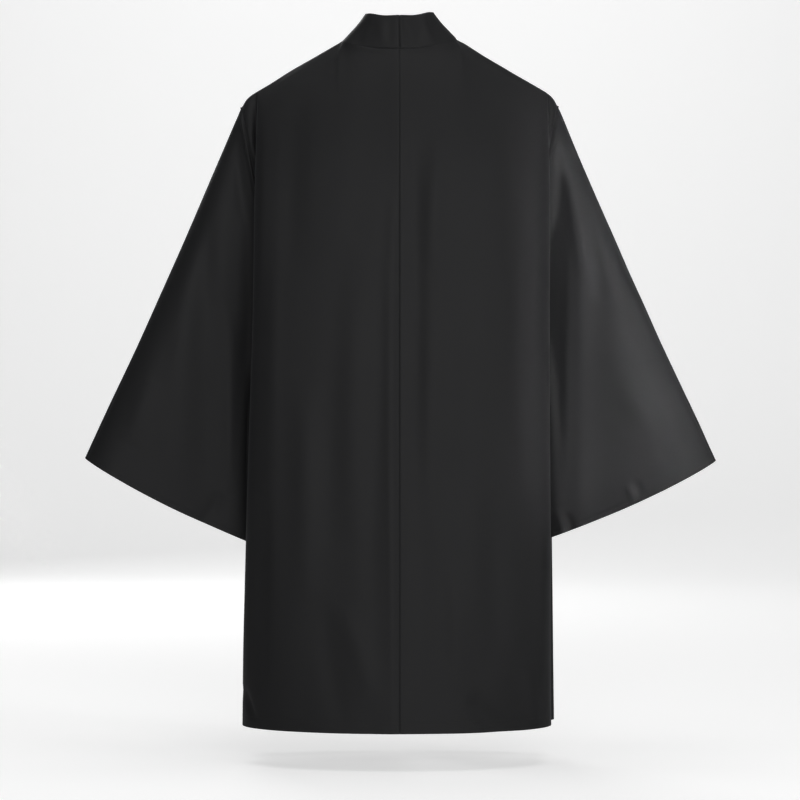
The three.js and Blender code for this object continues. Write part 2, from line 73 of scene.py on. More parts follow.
# %% Neck, shoulder, armhole, sleeve and collar
HEM_Z = -0.847
BODY_DROP = 0.830  # from the crest of the shoulder to the hem
NECK = {"half_width": 0.071, "back_y": 0.058, "back_z": -0.016, "curve": 2.7}
SHOULDER = {"slope": 0.594, "seam_y": 0.014, "crest_y": -0.005}
SHOULDER_TIP = {"round_from": 0.183, "round_drop": 0.0045, "bend": 40}
SHOULDER_REACH = {"back": 0.160, "front": 0.200}  # drop in which the cloth rounds over the shoulder
SHOULDER_CURVE = {"neck": 1.7, "tip": 1.0}  # power of that rounding, which is fuller at the neck
SEAM_ANGLE = 11.0  # degrees behind the crest, where the shoulder seam lies
SEAM_DROP = SHOULDER_REACH["back"] * (1 - math.cos(math.radians(SEAM_ANGLE)))
ARMHOLE = {"top_x": 0.1955, "top_y": 0.003, "top_z": -0.082, "bottom_x": 0.152, "bottom_y": -0.006}
ARMHOLE_HEIGHT = 0.248
ARMHOLE_HALF_DEPTH = 0.040
ARMHOLE_CURVE = 1.15
# Beside the ridge the cloth drops by so many times its overhang, and then rises slowly to the armhole.
ARMHOLE_VALLEY = {"depth": 3.0, "most": 0.008, "floor": 0.3}
ARMHOLE_SCALE = (ARMHOLE["top_z"] - HEM_Z) / BODY_DROP
UNDERARM_DROP = ARMHOLE_HEIGHT / ARMHOLE_SCALE
SLEEVE = {"bow": 0.003, "cuff_bow": 0.005, "shaped_from": 0.3, "arm": 0.2, "slack_to": 0.95}
SLEEVE_CLOSING = 0.88
# Beside the body a sleeve hangs in behind the back, and its back layer hangs in further above the underarm.
SLEEVE_TUCK = {"left": 0.0, "right": 0.014, "x": 0.181, "width": 0.020, "along_to": 0.12, "top_to": 0.30}
BACK_TUCK = {"left": 0.002, "right": 0.012, "from": 0.80, "to": 0.97}
SLEEVE_DROP = 0.004
CUFF = {"left": (0.391, -0.517), "right": (0.3935, -0.520), "top_y": -0.008}  # the outer corners, as x and z
COLLAR = {"width": 0.043, "top_half_width": 0.0398, "top_back_y": 0.050, "top_side_y": 0.012}
COLLAR_TOP_Z = {"back": 0.025, "side": 0.031}
COLLAR_TURN = 0.230  # length in which the band turns from upright at the neck to flat on the front
FLAT_BAND = np.array((-1.0, -0.05, 0.0))
FRONT_EDGE = {"x": 0.062, "straight_below": -0.200}

SIDES = (
    {"name": "left", "sign": 1, "ridge": "left_ridge"},
    {"name": "right", "sign": -1, "ridge": "right_ridge"},
)
print(
    f"the jacket is {BODY_DROP * 1000:.0f} mm from shoulder to hem",
    f"and {2 * CUFF['left'][0] * 1000:.0f} mm across",
)

# %% [markdown]
# ## Sections of the body and the sleeve
# A body that hangs is well described by a few level sections. Each has a centre depth, a ridge where the
# cloth folds round to the side, and a roundness. Between the rows a smooth curve is read, so seven rows are
# enough.

# %% Tables of sections, from the hem up and from the armhole out
BACK = {
    "z":           (-0.847, -0.740, -0.620, -0.480, -0.330, -0.190, -0.090),
    "centre_y":    (0.1070, 0.1050, 0.1040, 0.1040, 0.1070, 0.1100, 0.1060),
    "ridge_y":     (0.0060, 0.0220, 0.0360, 0.0460, 0.0520, 0.0560, 0.0500),
    "left_ridge":  (0.1940, 0.1920, 0.1885, 0.1840, 0.1790, 0.1760, 0.1750),
    "right_ridge": (0.1880, 0.1866, 0.1856, 0.1845, 0.1835, 0.1830, 0.1820),
    "round":       (2.0000, 2.0500, 2.2000, 2.4000, 2.5000, 2.5000, 2.5000),
}
FRONT = {
    "z":           (-0.8470, -0.6200, -0.4800, -0.3300, -0.2000, -0.0900),
    "centre_y":    (-0.1120, -0.1100, -0.1130, -0.1170, -0.1180, -0.1040),
    "ridge_y":     (-0.0540, -0.0550, -0.0560, -0.0560, -0.0540, -0.0460),
    "left_ridge":  (0.1900, 0.1870, 0.1840, 0.1810, 0.1790, 0.1770),
    "right_ridge": (0.1945, 0.1920, 0.1885, 0.1850, 0.1820, 0.1800),
    "round":       (2.2000, 2.3000, 2.4000, 2.5000, 2.5000, 2.5000),
}
SIDE_SEAM = {
    "z": (-0.847, -0.740, -0.640, -0.530, -0.400, -0.330),
    "x": (0.182, 0.178, 0.172, 0.164, 0.156, 0.152),
    "y": (-0.024, -0.018, -0.013, -0.010, -0.008, -0.006),
}
SLEEVE_BOTTOM = {
    "along": (0.000, 0.120, 0.300, 0.550, 0.800, 1.0000),
    "x":     (0.152, 0.167, 0.179, 0.184, 0.185, 0.1845),
    "left":  (-0.330, -0.362, -0.426, -0.508, -0.576, -0.623),
    "right": (-0.330, -0.362, -0.426, -0.506, -0.571, -0.618),
}
SLEEVE_DEPTH = {
    "along": (0.000, 0.300, 0.650, 1.000),
    "top":   (0.040, 0.040, 0.037, 0.033),
    "low":   (0.022, 0.015, 0.010, 0.008),
}


def lerp(start, end, share):
    return start + (end - start) * share


def smoothstep(value, low, high):
    share = np.clip((value - low) / (high - low), 0, 1)
    return share * share * (3 - 2 * share)


def along_curve(keys, values, at):
    """Values on a smooth curve through a few rows, for any number of places at once."""
    keys, values = np.asarray(keys, float), np.asarray(values, float)
    steps = np.diff(values, axis=0) / np.diff(keys).reshape((-1,) + (1,) * (values.ndim - 1))
    slopes = np.concatenate([steps[:1], values[1:-1], steps[-1:]])
    reach = (keys[2:] - keys[:-2]).reshape((-1,) + (1,) * (values.ndim - 1))
    slopes[1:-1] = (values[2:] - values[:-2]) / reach
    at = np.clip(at, keys[0], keys[-1])
    row = np.clip(np.searchsorted(keys, at, side="right") - 1, 0, len(keys) - 2)
    extra = (1,) * (values.ndim - 1)
    span = (keys[row + 1] - keys[row]).reshape(np.shape(at) + extra)
    share = (at - keys[row]).reshape(np.shape(at) + extra) / span
    rise = values[row + 1] - values[row]
    leaving, arriving = slopes[row] * span, slopes[row + 1] * span
    bend = 3 * rise - 2 * leaving - arriving + share * (leaving + arriving - 2 * rise)
    return values[row] + share * (leaving + share * bend)


def read(table, at, column):
    """One column of a table at a place along its first column."""
    return along_curve(table[next(iter(table))], table[column], np.asarray(at, float))


print(f"half the back is {read(BACK, -0.5, 'left_ridge') * 1000:.0f} mm wide half way down")

# %% [markdown]
# ## The largest folds
# Loose cloth that hangs from the shoulders falls in long soft folds. Each is given by where it starts and
# ends, how wide it is and how high: above 0 is a ridge, below 0 a trough. They are given one by one, so that
# no two are alike.

# %% Folds that the solids have too
FOLD_COLUMNS = ("top_x", "top_z", "bottom_x", "bottom_z", "width", "height")
BACK_FOLDS = {
    "left": (
        (0.009, -0.200, 0.014, -0.900, 0.013, 0.0026),
        (0.070, -0.260, 0.088, -0.900, 0.030, -0.0030),
        (0.150, -0.150, 0.160, -0.900, 0.015, 0.0020),
    ),
    "right": (
        (0.022, -0.260, 0.026, -0.900, 0.016, -0.0024),
        (0.092, -0.330, 0.080, -0.900, 0.028, 0.0024),
        (0.150, -0.200, 0.146, -0.900, 0.018, -0.0024),
    ),
}
FRONT_FOLDS = {
    "left": (
        (0.100, -0.150, 0.096, -0.900, 0.020, 0.005),
        (0.140, -0.240, 0.138, -0.900, 0.018, -0.006),
    ),
    "right": (
        (0.092, -0.190, 0.104, -0.900, 0.022, -0.005),
        (0.136, -0.210, 0.142, -0.900, 0.018, 0.005),
    ),
}
SLEEVE_FOLDS = {
    "left": (
        (0.208, -0.120, 0.218, -0.700, 0.018, 0.0020),
        (0.238, -0.190, 0.244, -0.700, 0.020, -0.0025),
        (0.270, -0.290, 0.284, -0.700, 0.026, 0.0020),
    ),
    "right": (
        (0.216, -0.120, 0.222, -0.700, 0.020, 0.003),
        (0.244, -0.200, 0.248, -0.700, 0.022, -0.002),
        (0.262, -0.380, 0.360, -0.640, 0.028, 0.0015),
    ),
}
FOLD_TOP_WIDTH = 0.6  # a fold starts this much narrower than it ends
FOLD_EARLY, FOLD_BLUNT = 0.6, 0.8  # and it rises early, with blunt ends


def fold_height(folds, x, z):
    """How far a set of folds lifts the cloth at places x outwards and z up."""
    height = np.zeros(np.broadcast(x, z).shape)
    for row in folds:
        fold = dict(zip(FOLD_COLUMNS, row))
        down = np.clip((fold["top_z"] - z) / (fold["top_z"] - fold["bottom_z"]), 0, 1)
        centre = lerp(fold["top_x"], fold["bottom_x"], down)
        off = (x - centre) / (fold["width"] * lerp(FOLD_TOP_WIDTH, 1, down))
        rise = np.maximum(np.sin(np.pi * down**FOLD_EARLY), 0) ** FOLD_BLUNT
        height += fold["height"] * np.exp(-off * off) * rise
    return height


print("large folds:", sum(len(v) for t in (BACK_FOLDS, FRONT_FOLDS, SLEEVE_FOLDS) for v in t.values()))

# %% [markdown]
# ## The lines that pieces share
# A seam is one line in space, and the pieces on both sides of it must meet there. So the armhole, the side
# seam, the shoulder seam and the neckline are functions of their own, and every panel asks them for its edge.

# %% Armhole, side seam, shoulder seam and neckline


def points_of(x, y, z):
    return np.stack(np.broadcast_arrays(x, y, z), axis=-1)


def crest_z(x):
    """The crest of the shoulder, which rounds off at its tip."""
    past = np.maximum(0, (x - SHOULDER_TIP["round_from"]) / (ARMHOLE["top_x"] - SHOULDER_TIP["round_from"]))
    return -SHOULDER["slope"] * (x - NECK["half_width"]) - SHOULDER_TIP["round_drop"] * past**3


def armhole(drop, face):
    """The armhole at drops below its top, on its back face (+1) or its front face (-1)."""
    down = np.clip(np.asarray(drop) * ARMHOLE_SCALE / ARMHOLE_HEIGHT, 0, 1)
    half_depth = ARMHOLE_HALF_DEPTH * np.sqrt(4 * down * (1 - down))
    return points_of(
        lerp(ARMHOLE["bottom_x"], ARMHOLE["top_x"], (1 - down) ** ARMHOLE_CURVE),
        lerp(ARMHOLE["top_y"], ARMHOLE["bottom_y"], down) + face * half_depth,
        ARMHOLE["top_z"] - ARMHOLE_HEIGHT * down,
    )


def side_edge(drop, face):
    """The outer edge of a body panel: the armhole, and below it the side seam."""
    z = ARMHOLE["top_z"] - drop * ARMHOLE_SCALE
    seam = points_of(read(SIDE_SEAM, z, "x"), read(SIDE_SEAM, z, "y"), z)
    return np.where((drop <= UNDERARM_DROP)[:, None], armhole(drop, face), seam)


def shoulder_seam(x):
    """The shoulder seam at distances x from the centre."""
    tip = armhole(SEAM_DROP, 1)
    along = (x - NECK["half_width"]) / (tip[0] - NECK["half_width"])
    behind_crest = crest_z(x) - SEAM_DROP * (crest_z(x) - HEM_Z) / BODY_DROP
    bend = np.maximum(along, 0) ** SHOULDER_TIP["bend"]
    return points_of(x, lerp(SHOULDER["seam_y"], tip[1], along), lerp(behind_crest, tip[2], bend))


def neckline(part):
    """The neckline of the back, from the centre (0) to the shoulder seam (1)."""
    end = shoulder_seam(NECK["half_width"])
    angle = part * np.pi / 2
    return points_of(
        NECK["half_width"] * np.sin(angle),
        lerp(end[1], NECK["back_y"], np.cos(angle)),
        lerp(NECK["back_z"], end[2], np.sin(angle) ** NECK["curve"]),
    )


print(f"the armhole is {ARMHOLE_HEIGHT * 1000:.0f} mm deep and starts {-ARMHOLE['top_z'] * 1000:.0f} mm down")

# %% [markdown]
# ## Rows and columns of cloth
# Every panel is a grid. Its rows run down the body and its columns run outwards. The coarse rows are those of
# the frame's solids, and finer ones are read between them. More lines are crowded at the edges, where the
# cloth turns into a seam or round a hem within a few millimetres.

# %% Coarse and fine rows and columns
BACK_TURNS = (SEAM_ANGLE, 20, 30, 40, 50, 60, 70, 80, 90)  # degrees round the shoulder
FRONT_TURNS = (0, 12, 22, 32, 42, 52, 62, 72, 81, 90)
UNDERARM_DROPS = (0.190, 0.214, 0.236, 0.255, UNDERARM_DROP)
LEAST_STEP = 0.010
STEPS_TO_HEM = 11
NECK_STEPS, SHOULDER_STEPS, RETURN_STEPS, SLEEVE_STEPS = 6, 10, 6, 18
NECK_TURN = 19.0  # degrees of the back's section that lie under the neckline
VALLEY_FLOOR_FROM = 0.75
FINE_ABOVE_UNDERARM, FINE_BELOW_UNDERARM, FINE_ACROSS, FINE_ALONG_SLEEVE = 6, 12, 4, 7
CROWDED = (0.06, 0.16, 0.32, 0.6)  # extra lines in the first and the last step, as parts of it


def fine_places(parts):
    """Places along runs of (coarse steps, finer steps in each), crowded at both ends."""
    places, start = [0.0], 0.0
    for steps, finer in parts:
        places += [start + (step + 1) / finer for step in range(steps * finer)]
        start += steps
    first, last = places[1], places[-1] - places[-2]
    places += [first * part for part in CROWDED] + [places[-1] - last * part for part in CROWDED]
    return np.array(sorted(places))


def body_rows(turns, reach, face, places):
    """Rows of a body panel at places counted in coarse rows. The front's first step goes over the crest."""
    low = [drop for drop in UNDERARM_DROPS if drop > reach + LEAST_STEP]
    low += [lerp(UNDERARM_DROP, BODY_DROP, (step + 1) / STEPS_TO_HEM) for step in range(STEPS_TO_HEM)]
    over = 1 if face < 0 else 0  # steps before the first turn
    at = np.asarray(places, float) - over
    turn = np.interp(at, range(len(turns)), turns)
    hanging = np.interp(at, range(len(turns) - 1, len(turns) + len(low)), [reach, *low])
    drop = np.where(at < len(turns) - 1, reach * (1 - np.cos(np.radians(turn))), hanging)
    to_crest = np.clip(at + over, 0, 1) if over else np.ones(len(at))
    drop = np.where(at < 0, SEAM_DROP * (1 - to_crest) ** 2, drop)
    return {"turn": turn, "drop": drop, "face": np.where(at < 0, 1, face), "to_crest": to_crest}


def outer_columns(across_places, past_places):
    """Columns from the neck's edge to the ridge (across, 0 to 1) and on round to the side (past, 0 to 1)."""
    return np.append(across_places, np.ones(len(past_places))), np.append(0 * across_places, past_places)


LAST_ROW = {"back": 24, "front": 25}
UNDERARM_ROW = {"back": 13, "front": 14}
ROW_PLACES = {}
for face in ("back", "front"):
    above, below = UNDERARM_ROW[face], LAST_ROW[face] - UNDERARM_ROW[face]
    ROW_PLACES[face] = fine_places([(above, FINE_ABOVE_UNDERARM), (below, FINE_BELOW_UNDERARM)])
    print("coarse and fine rows in the", face + ":", LAST_ROW[face] + 1, "and", len(ROW_PLACES[face]))

# %% [markdown]
# ## The body panels
# A panel hangs from the shoulder seam. At each level its section is known from the tables, and near the top
# it is drawn up to the seam it is sewn to. Cloth could also be simulated from the flat cut, but then the two
# sides of a seam would drift apart, and the long calm folds of this garment are easier to place than to wait
# for.

# %% Sections, and how they round over the shoulder


def section(table, ridge, across, past, start_turn, z, edge):
    """A level section from its centre to its ridge, and past the ridge to the panel's edge."""
    ridge_x, ridge_y = read(table, z, ridge), read(table, z, "ridge_y")
    turn = np.radians(lerp(start_turn, 90, across))
    power = 2 / read(table, z, "round")
    rise = np.maximum(0, np.cos(turn)) ** power
    near_x, near_y = ridge_x * np.sin(turn) ** power, lerp(ridge_y, read(table, z, "centre_y"), rise)
    edge_x, edge_y = edge[..., 0], edge[..., 1]
    far_share = smoothstep(past, 0, np.where(edge_x > ridge_x, 1, VALLEY_FLOOR_FROM))
    far_x = lerp(ridge_x, edge_x, far_share)
    overhang = np.clip(edge_x - ridge_x, 0, ARMHOLE_VALLEY["most"])
    valley = ARMHOLE_VALLEY["depth"] * overhang * (1 - far_share) ** 2
    valley = valley * smoothstep(past, 0, ARMHOLE_VALLEY["floor"])
    far_y = lerp(ridge_y, edge_y, past) - np.sign(ridge_y) * valley
    return np.where(past > 0, far_x, near_x), np.where(past > 0, far_y, near_y)


NO_FALL = 1e-9  # metres, less than any real fall of the cloth


def rounded_over(rows, face, x, seam_y, hanging_y):
    """How far the cloth has rounded over the shoulder: 0 at the seam, and 1 where it hangs."""
    outwards = x / ARMHOLE["top_x"]
    power = lerp(SHOULDER_CURVE["neck"], SHOULDER_CURVE["tip"], outwards)
    gone = np.sin(np.radians(rows["turn"]))[:, None] ** power
    if face > 0:
        start = math.sin(math.radians(SEAM_ANGLE)) ** power
        return (gone - start) / (1 - start)
    fall = np.where(np.abs(seam_y - hanging_y) < NO_FALL, NO_FALL, seam_y - hanging_y)
    crest = (seam_y - lerp(SHOULDER["crest_y"], ARMHOLE["top_y"], outwards)) / fall
    return crest * rows["to_crest"][:, None] + (1 - crest) * gone


def hang(table, ridge, rows, face, across, past, start_turn, tops):
    """A body panel: hanging sections, drawn up to the seam at the top. start_turn is a function of z."""
    scale = (tops[:, 2] - HEM_Z) / (BODY_DROP - SEAM_DROP)
    z = tops[:, 2] - (rows["drop"][:, None] - SEAM_DROP) * scale
    edge = side_edge(rows["drop"], rows["face"])[:, None, :]
    x, y = section(table, ridge, across, past, start_turn(z), z, edge)
    tip = armhole(SEAM_DROP, 1)
    high_x, high_y = section(table, ridge, across, past, start_turn(tops[:, 2]), tops[:, 2], tip)
    left = 1 - rounded_over(rows, face, tops[:, 0], tops[:, 1], y)
    return points_of(x + (tops[:, 0] - high_x) * left, y + (tops[:, 1] - high_y) * left, z)


def seam_tops(side, across, past):
    """The tops of the columns along the shoulder seam, which the back and the front share."""
    tip = armhole(SEAM_DROP, 1)
    x, _ = section(BACK, side["ridge"], across, past, NECK_TURN, tip[2] + 0 * across, tip)
    tops = shoulder_seam(np.maximum(x, NECK["half_width"]))
    tops[across == 0] = shoulder_seam(NECK["half_width"])
    tops[past == 1] = tip
    return tops


# %% The back, eased at the nape, and the front
FOLDED_DEPTH = {"from": 0.030, "to": 0.070}  # the body is smooth where it is shallower than this
BACK_EASED = {"rows": 13, "columns": 15, "times": 10, "share": 0.6}
CENTRE_SEAM_CALM = 0.007  # the folds fade out this near the centre seam, so that both halves meet
FRONT_BAND_CALM = 0.3


def raw_back(side, row_places, neck_parts, across, past):
    """The back with its large folds, before it is eased. neck_parts are its columns under the neckline."""
    rows = body_rows(BACK_TURNS, SHOULDER_REACH["back"], 1, row_places)
    outer_tops = seam_tops(side, across, past)
    tops = np.concatenate([neckline(neck_parts), outer_tops])
    start = np.append(NECK_TURN * neck_parts, np.full(len(across), NECK_TURN))
    across, past = np.append(0 * neck_parts, across), np.append(0 * neck_parts, past)
    points = hang(BACK, side["ridge"], rows, 1, across, past, lambda z: start, tops)
    folded = smoothstep(points[..., 1], FOLDED_DEPTH["from"], FOLDED_DEPTH["to"])
    folded = folded * smoothstep(points[..., 0], 0, CENTRE_SEAM_CALM)
    points[..., 1] += fold_height(BACK_FOLDS[side["name"]], points[..., 0], points[..., 2]) * folded
    return points


def easing(points):
    """How far points move when the creases are eased out of the top of the back."""
    eased = points.copy()
    rows, columns = BACK_EASED["rows"], BACK_EASED["columns"]
    row_share = 1 - (np.arange(1, rows) / rows) ** 2
    column_share = 1 - (np.arange(1, columns) / columns) ** 2
    share = BACK_EASED["share"] * row_share[:, None, None] * column_share[None, :, None]
    for _ in range(BACK_EASED["times"]):
        around = eased[: rows - 1, 1:columns] + eased[2 : rows + 1, 1:columns]
        around = around + eased[1:rows, : columns - 1] + eased[1:rows, 2 : columns + 1]
        eased[1:rows, 1:columns] += (around / 4 - eased[1:rows, 1:columns]) * share
    return eased - points


def back_panel(side):
    coarse_across = np.arange(SHOULDER_STEPS + 1) / SHOULDER_STEPS
    coarse_past = np.arange(1, RETURN_STEPS + 1) / RETURN_STEPS
    coarse = outer_columns(coarse_across, coarse_past)
    neck = np.arange(NECK_STEPS) / NECK_STEPS
    offset = easing(raw_back(side, np.arange(LAST_ROW["back"] + 1), neck, *coarse))
    places = fine_places([(NECK_STEPS + SHOULDER_STEPS + RETURN_STEPS, FINE_ACROSS)])
    across = (places - NECK_STEPS) / SHOULDER_STEPS
    past = (places - NECK_STEPS - SHOULDER_STEPS) / RETURN_STEPS
    outer = places >= NECK_STEPS
    points = raw_back(
        side,
        ROW_PLACES["back"],
        places[~outer] / NECK_STEPS,
        np.clip(across[outer], 0, 1),
        np.maximum(past[outer], 0),
    )
    offset = along_curve(range(len(offset)), offset, ROW_PLACES["back"])
    offset = along_curve(range(offset.shape[1]), offset.swapaxes(0, 1), places).swapaxes(0, 1)
    return points + offset


def front_edge_x(z):
    """Where the front's edge hangs, to which the collar band is sewn."""
    return lerp(FRONT_EDGE["x"], NECK["half_width"], smoothstep(z, FRONT_EDGE["straight_below"], 0))


def front_panel(side):
    rows = body_rows(FRONT_TURNS, SHOULDER_REACH["front"], -1, ROW_PLACES["front"])
    places = fine_places([(SHOULDER_STEPS + RETURN_STEPS, FINE_ACROSS)])
    across = np.clip(places / SHOULDER_STEPS, 0, 1)
    past = np.maximum((places - SHOULDER_STEPS) / RETURN_STEPS, 0)

    def start_turn(z):
        power = read(FRONT, z, "round") / 2
        return np.degrees(np.arcsin((front_edge_x(z) / read(FRONT, z, side["ridge"])) ** power))

    points = hang(FRONT, side["ridge"], rows, -1, across, past, start_turn, seam_tops(side, across, past))
    folded = smoothstep(-points[..., 1], FOLDED_DEPTH["from"], FOLDED_DEPTH["to"])
    folded = folded * smoothstep(across, 0, FRONT_BAND_CALM)
    points[..., 1] -= fold_height(FRONT_FOLDS[side["name"]], points[..., 0], points[..., 2]) * folded
    return points


# %% [markdown]
# ## The sleeves
# A kimono sleeve is a wide flat bag. It hangs from a rounded top, where an arm would be, and its two layers
# nearly touch lower down. Its back and its front are separate cuts that meet over the arm and under it. Their
# rows carry on from those of the body, so the armhole seam closes point for point.

# %% The back or the front of a sleeve
SLEEVE_FOLDED = {"top_from": 0.05, "top_to": 0.3, "low_from": 0.8, "along_to": 0.2}


def sleeve_panel(side, face_name, face):
    """The grid of one side of a sleeve. Its columns go from the armhole (0) to the cuff (1)."""
    turns = BACK_TURNS if face > 0 else FRONT_TURNS
    row_places = ROW_PLACES[face_name]
    row_places = row_places[row_places <= UNDERARM_ROW[face_name]]
    rows = body_rows(turns, SHOULDER_REACH[face_name], face, row_places)
    along = fine_places([(SLEEVE_STEPS, FINE_ALONG_SLEEVE)])[None, :] / SLEEVE_STEPS
    root = armhole(rows["drop"], rows["face"])[:, None, :]
    down = (ARMHOLE["top_z"] - root[..., 2]) / ARMHOLE_HEIGHT
    crest = armhole(0.0, 1)

    # Seen from behind: between the line over the arm and the line under it.
    cuff_x, cuff_z = CUFF[side["name"]]
    top_x = lerp(crest[0], cuff_x, along) - SLEEVE["bow"] * np.sin(np.pi * along)
    top_z = lerp(crest[2], cuff_z, along)
    x = lerp(top_x, read(SLEEVE_BOTTOM, along, "x"), down)
    z = lerp(top_z, read(SLEEVE_BOTTOM, along, side["name"]), down)
    way = np.array((cuff_x - crest[0], cuff_z - crest[2]))
    bow = SLEEVE["cuff_bow"] * along**2 * np.sin(np.pi * down) / np.linalg.norm(way)
    x, z = x + way[0] * bow, z + way[1] * bow
    shaped = smoothstep(along, 0, SLEEVE["shaped_from"])
    x = x + (root[..., 0] - lerp(ARMHOLE["top_x"], ARMHOLE["bottom_x"], down)) * (1 - shaped)

    # From the side: round over the arm, slack below it, and closed at the underarm seam.
    swell = np.sqrt(1 - (1 - np.minimum(1, down / SLEEVE["arm"])) ** 2)
    close = np.sqrt(1 - np.clip((down - SLEEVE_CLOSING) / (1 - SLEEVE_CLOSING), 0, 1) ** 2)
    slack = smoothstep(down, SLEEVE["arm"], SLEEVE["slack_to"])
    depth = lerp(read(SLEEVE_DEPTH, along, "top") * swell, read(SLEEVE_DEPTH, along, "low"), slack) * close
    root_middle = lerp(ARMHOLE["top_y"], ARMHOLE["bottom_y"], down)
    middle = lerp(root_middle, lerp(ARMHOLE["top_y"], CUFF["top_y"], along) - SLEEVE_DROP * down, shaped)
    beside = np.exp(-np.maximum(0, x - SLEEVE_TUCK["x"]) / SLEEVE_TUCK["width"])
    beside = beside * smoothstep(along, 0, SLEEVE_TUCK["along_to"])
    beside = beside * smoothstep(down, 0, SLEEVE_TUCK["top_to"])
    deeper = BACK_TUCK[side["name"]] * (1 - smoothstep(down, BACK_TUCK["from"], BACK_TUCK["to"]))
    middle = middle - (SLEEVE_TUCK[side["name"]] + np.maximum(rows["face"], 0)[:, None] * deeper) * beside
    folded = smoothstep(down, SLEEVE_FOLDED["top_from"], SLEEVE_FOLDED["top_to"])
    folded = folded * (1 - smoothstep(down, SLEEVE_FOLDED["low_from"], 1))
    folded = folded * smoothstep(along, 0, SLEEVE_FOLDED["along_to"])
    fold = fold_height(SLEEVE_FOLDS[side["name"]], x, z) * folded
    stand_off = lerp(np.abs(root[..., 1] - root_middle), depth, shaped) + fold
    points = points_of(x, middle + rows["face"][:, None] * stand_off, z)
    points[:, 0] = root[:, 0]
    return points


# %% [markdown]
# ## The collar band
# One long strip, folded double, is sewn round the neckline and down both front edges to the hem. It stands up
# round the neck and lies flat on the front, so its slope turns slowly from one to the other on the way down.

# %% Half of the band, from the centre back to the hem
BAND_STEPS = 4
FINE_BAND = 3
BAND_SQUARE_FROM = 0.012  # past the shoulder the band is square to its seam
# The band stands a little higher at the corners of the neck.
BAND_CORNER = {"left": 0.0032, "right": 0.0036, "x": 0.038, "width": 0.014, "low_z": -0.020, "high_z": 0.010}


def collar_band(name, neck_points, neck_parts, front_edge):
    """The outer face of the band, as stations along its seam by steps across its width."""

    def top_edge(part):
        angle = part * np.pi / 2
        return points_of(
            COLLAR["top_half_width"] * np.sin(angle),
            lerp(COLLAR["top_side_y"], COLLAR["top_back_y"], np.cos(angle)),
            lerp(COLLAR_TOP_Z["back"], COLLAR_TOP_Z["side"], np.sin(angle)),
        )

    seam = np.concatenate([neck_points, front_edge])
    run = np.append([0.0], np.linalg.norm(np.diff(front_edge, axis=0), axis=1).cumsum())
    way = np.gradient(front_edge, axis=0)
    way /= np.linalg.norm(way, axis=1, keepdims=True)
    at_shoulder = top_edge(np.array([1.0]))[0] - front_edge[0]
    flat = smoothstep(run, 0, COLLAR_TURN)[:, None]
    lean_down = lerp(at_shoulder / np.linalg.norm(at_shoulder), FLAT_BAND, flat)
    square = lean_down - way * (lean_down * way).sum(axis=1, keepdims=True)
    lean_down = lerp(lean_down, square, smoothstep(run, 0, BAND_SQUARE_FROM)[:, None])
    lean = np.concatenate([top_edge(neck_parts) - neck_points, lean_down])
    lean *= COLLAR["width"] / np.linalg.norm(lean, axis=1, keepdims=True)
    across = fine_places([(BAND_STEPS, FINE_BAND)]) / BAND_STEPS
    band = seam[:, None, :] + lean[:, None, :] * across[None, :, None]
    corner = np.exp(-(((band[..., 0] - BAND_CORNER["x"]) / BAND_CORNER["width"]) ** 2))
    corner = corner * smoothstep(band[..., 2], BAND_CORNER["low_z"], BAND_CORNER["high_z"])
    band[..., 2] += BAND_CORNER[name] * corner * across**2
    return band


# %% Lay out all ten pieces
# The jacket is worn a little uneven.
SHOULDER_LIFT = {"left": 0.0, "right": 0.0018, "to_x": 0.060, "low_z": -0.260, "high_z": -0.060}


def mirrored(points, side):
    """A grid on its own side of the body, with that shoulder's small lift."""
    high = smoothstep(points[..., 2], SHOULDER_LIFT["low_z"], SHOULDER_LIFT["high_z"])
    lift = SHOULDER_LIFT[side["name"]] * high * smoothstep(points[..., 0], 0, SHOULDER_LIFT["to_x"])
    return (points + lift[..., None] * np.array((0, 0, 1))) * np.array((side["sign"], 1, 1))


GRIDS = {}
for side in SIDES:
    name = side["name"]
    back, front = back_panel(side), front_panel(side)
    neck_places = fine_places([(NECK_STEPS + SHOULDER_STEPS + RETURN_STEPS, FINE_ACROSS)])
    neck_parts = neck_places[neck_places < NECK_STEPS] / NECK_STEPS
    collar = collar_band(name, back[0, : len(neck_parts)], neck_parts, front[:, 0])
    GRIDS[f"back_{name}"] = mirrored(back, side)
    GRIDS[f"front_{name}"] = mirrored(front, side)
    GRIDS[f"sleeve_back_{name}"] = mirrored(sleeve_panel(side, "back", 1), side)
    GRIDS[f"sleeve_front_{name}"] = mirrored(sleeve_panel(side, "front", -1), side)
    GRIDS[f"collar_{name}"] = mirrored(collar, side)
for name, points in GRIDS.items():
    print(f"{name}: {points.shape[0]} rows of {points.shape[1]} points")

# %% [markdown]
# ## Which way the cloth faces
# Each point needs the direction that is square to the cloth, to give it thickness and to raise a crease.
# Along a seam the two pieces must agree on it, or their edges would splay apart, so there the directions are
# shared.

# %% Normals, shared along the seams
FACING = {"back": 1, "front": -1, "sleeve_back": 1, "sleeve_front": -1, "collar": 1}
SAME_PLACE = 4  # decimals of a metre at which two edge points count as one
SHORTEST = 1e-12  # keeps a division by a length of nothing out of the way


def kind_of(name):
    return name.rsplit("_", 1)[0]


def side_sign(name):
    return 1 if name.endswith("_left") else -1


def normals_of(name, points):
    across, down = np.gradient(points, axis=1), np.gradient(points, axis=0)
    normals = np.cross(across, down) * FACING[kind_of(name)] * side_sign(name)
    return normals / np.maximum(np.linalg.norm(normals, axis=2, keepdims=True), SHORTEST)


def edge_places(shape):
    """Row and column numbers of all the points on the edge of a grid."""
    rows, columns = np.indices(shape)
    edge = (rows == 0) | (columns == 0) | (rows == shape[0] - 1) | (columns == shape[1] - 1)
    return rows[edge], columns[edge]


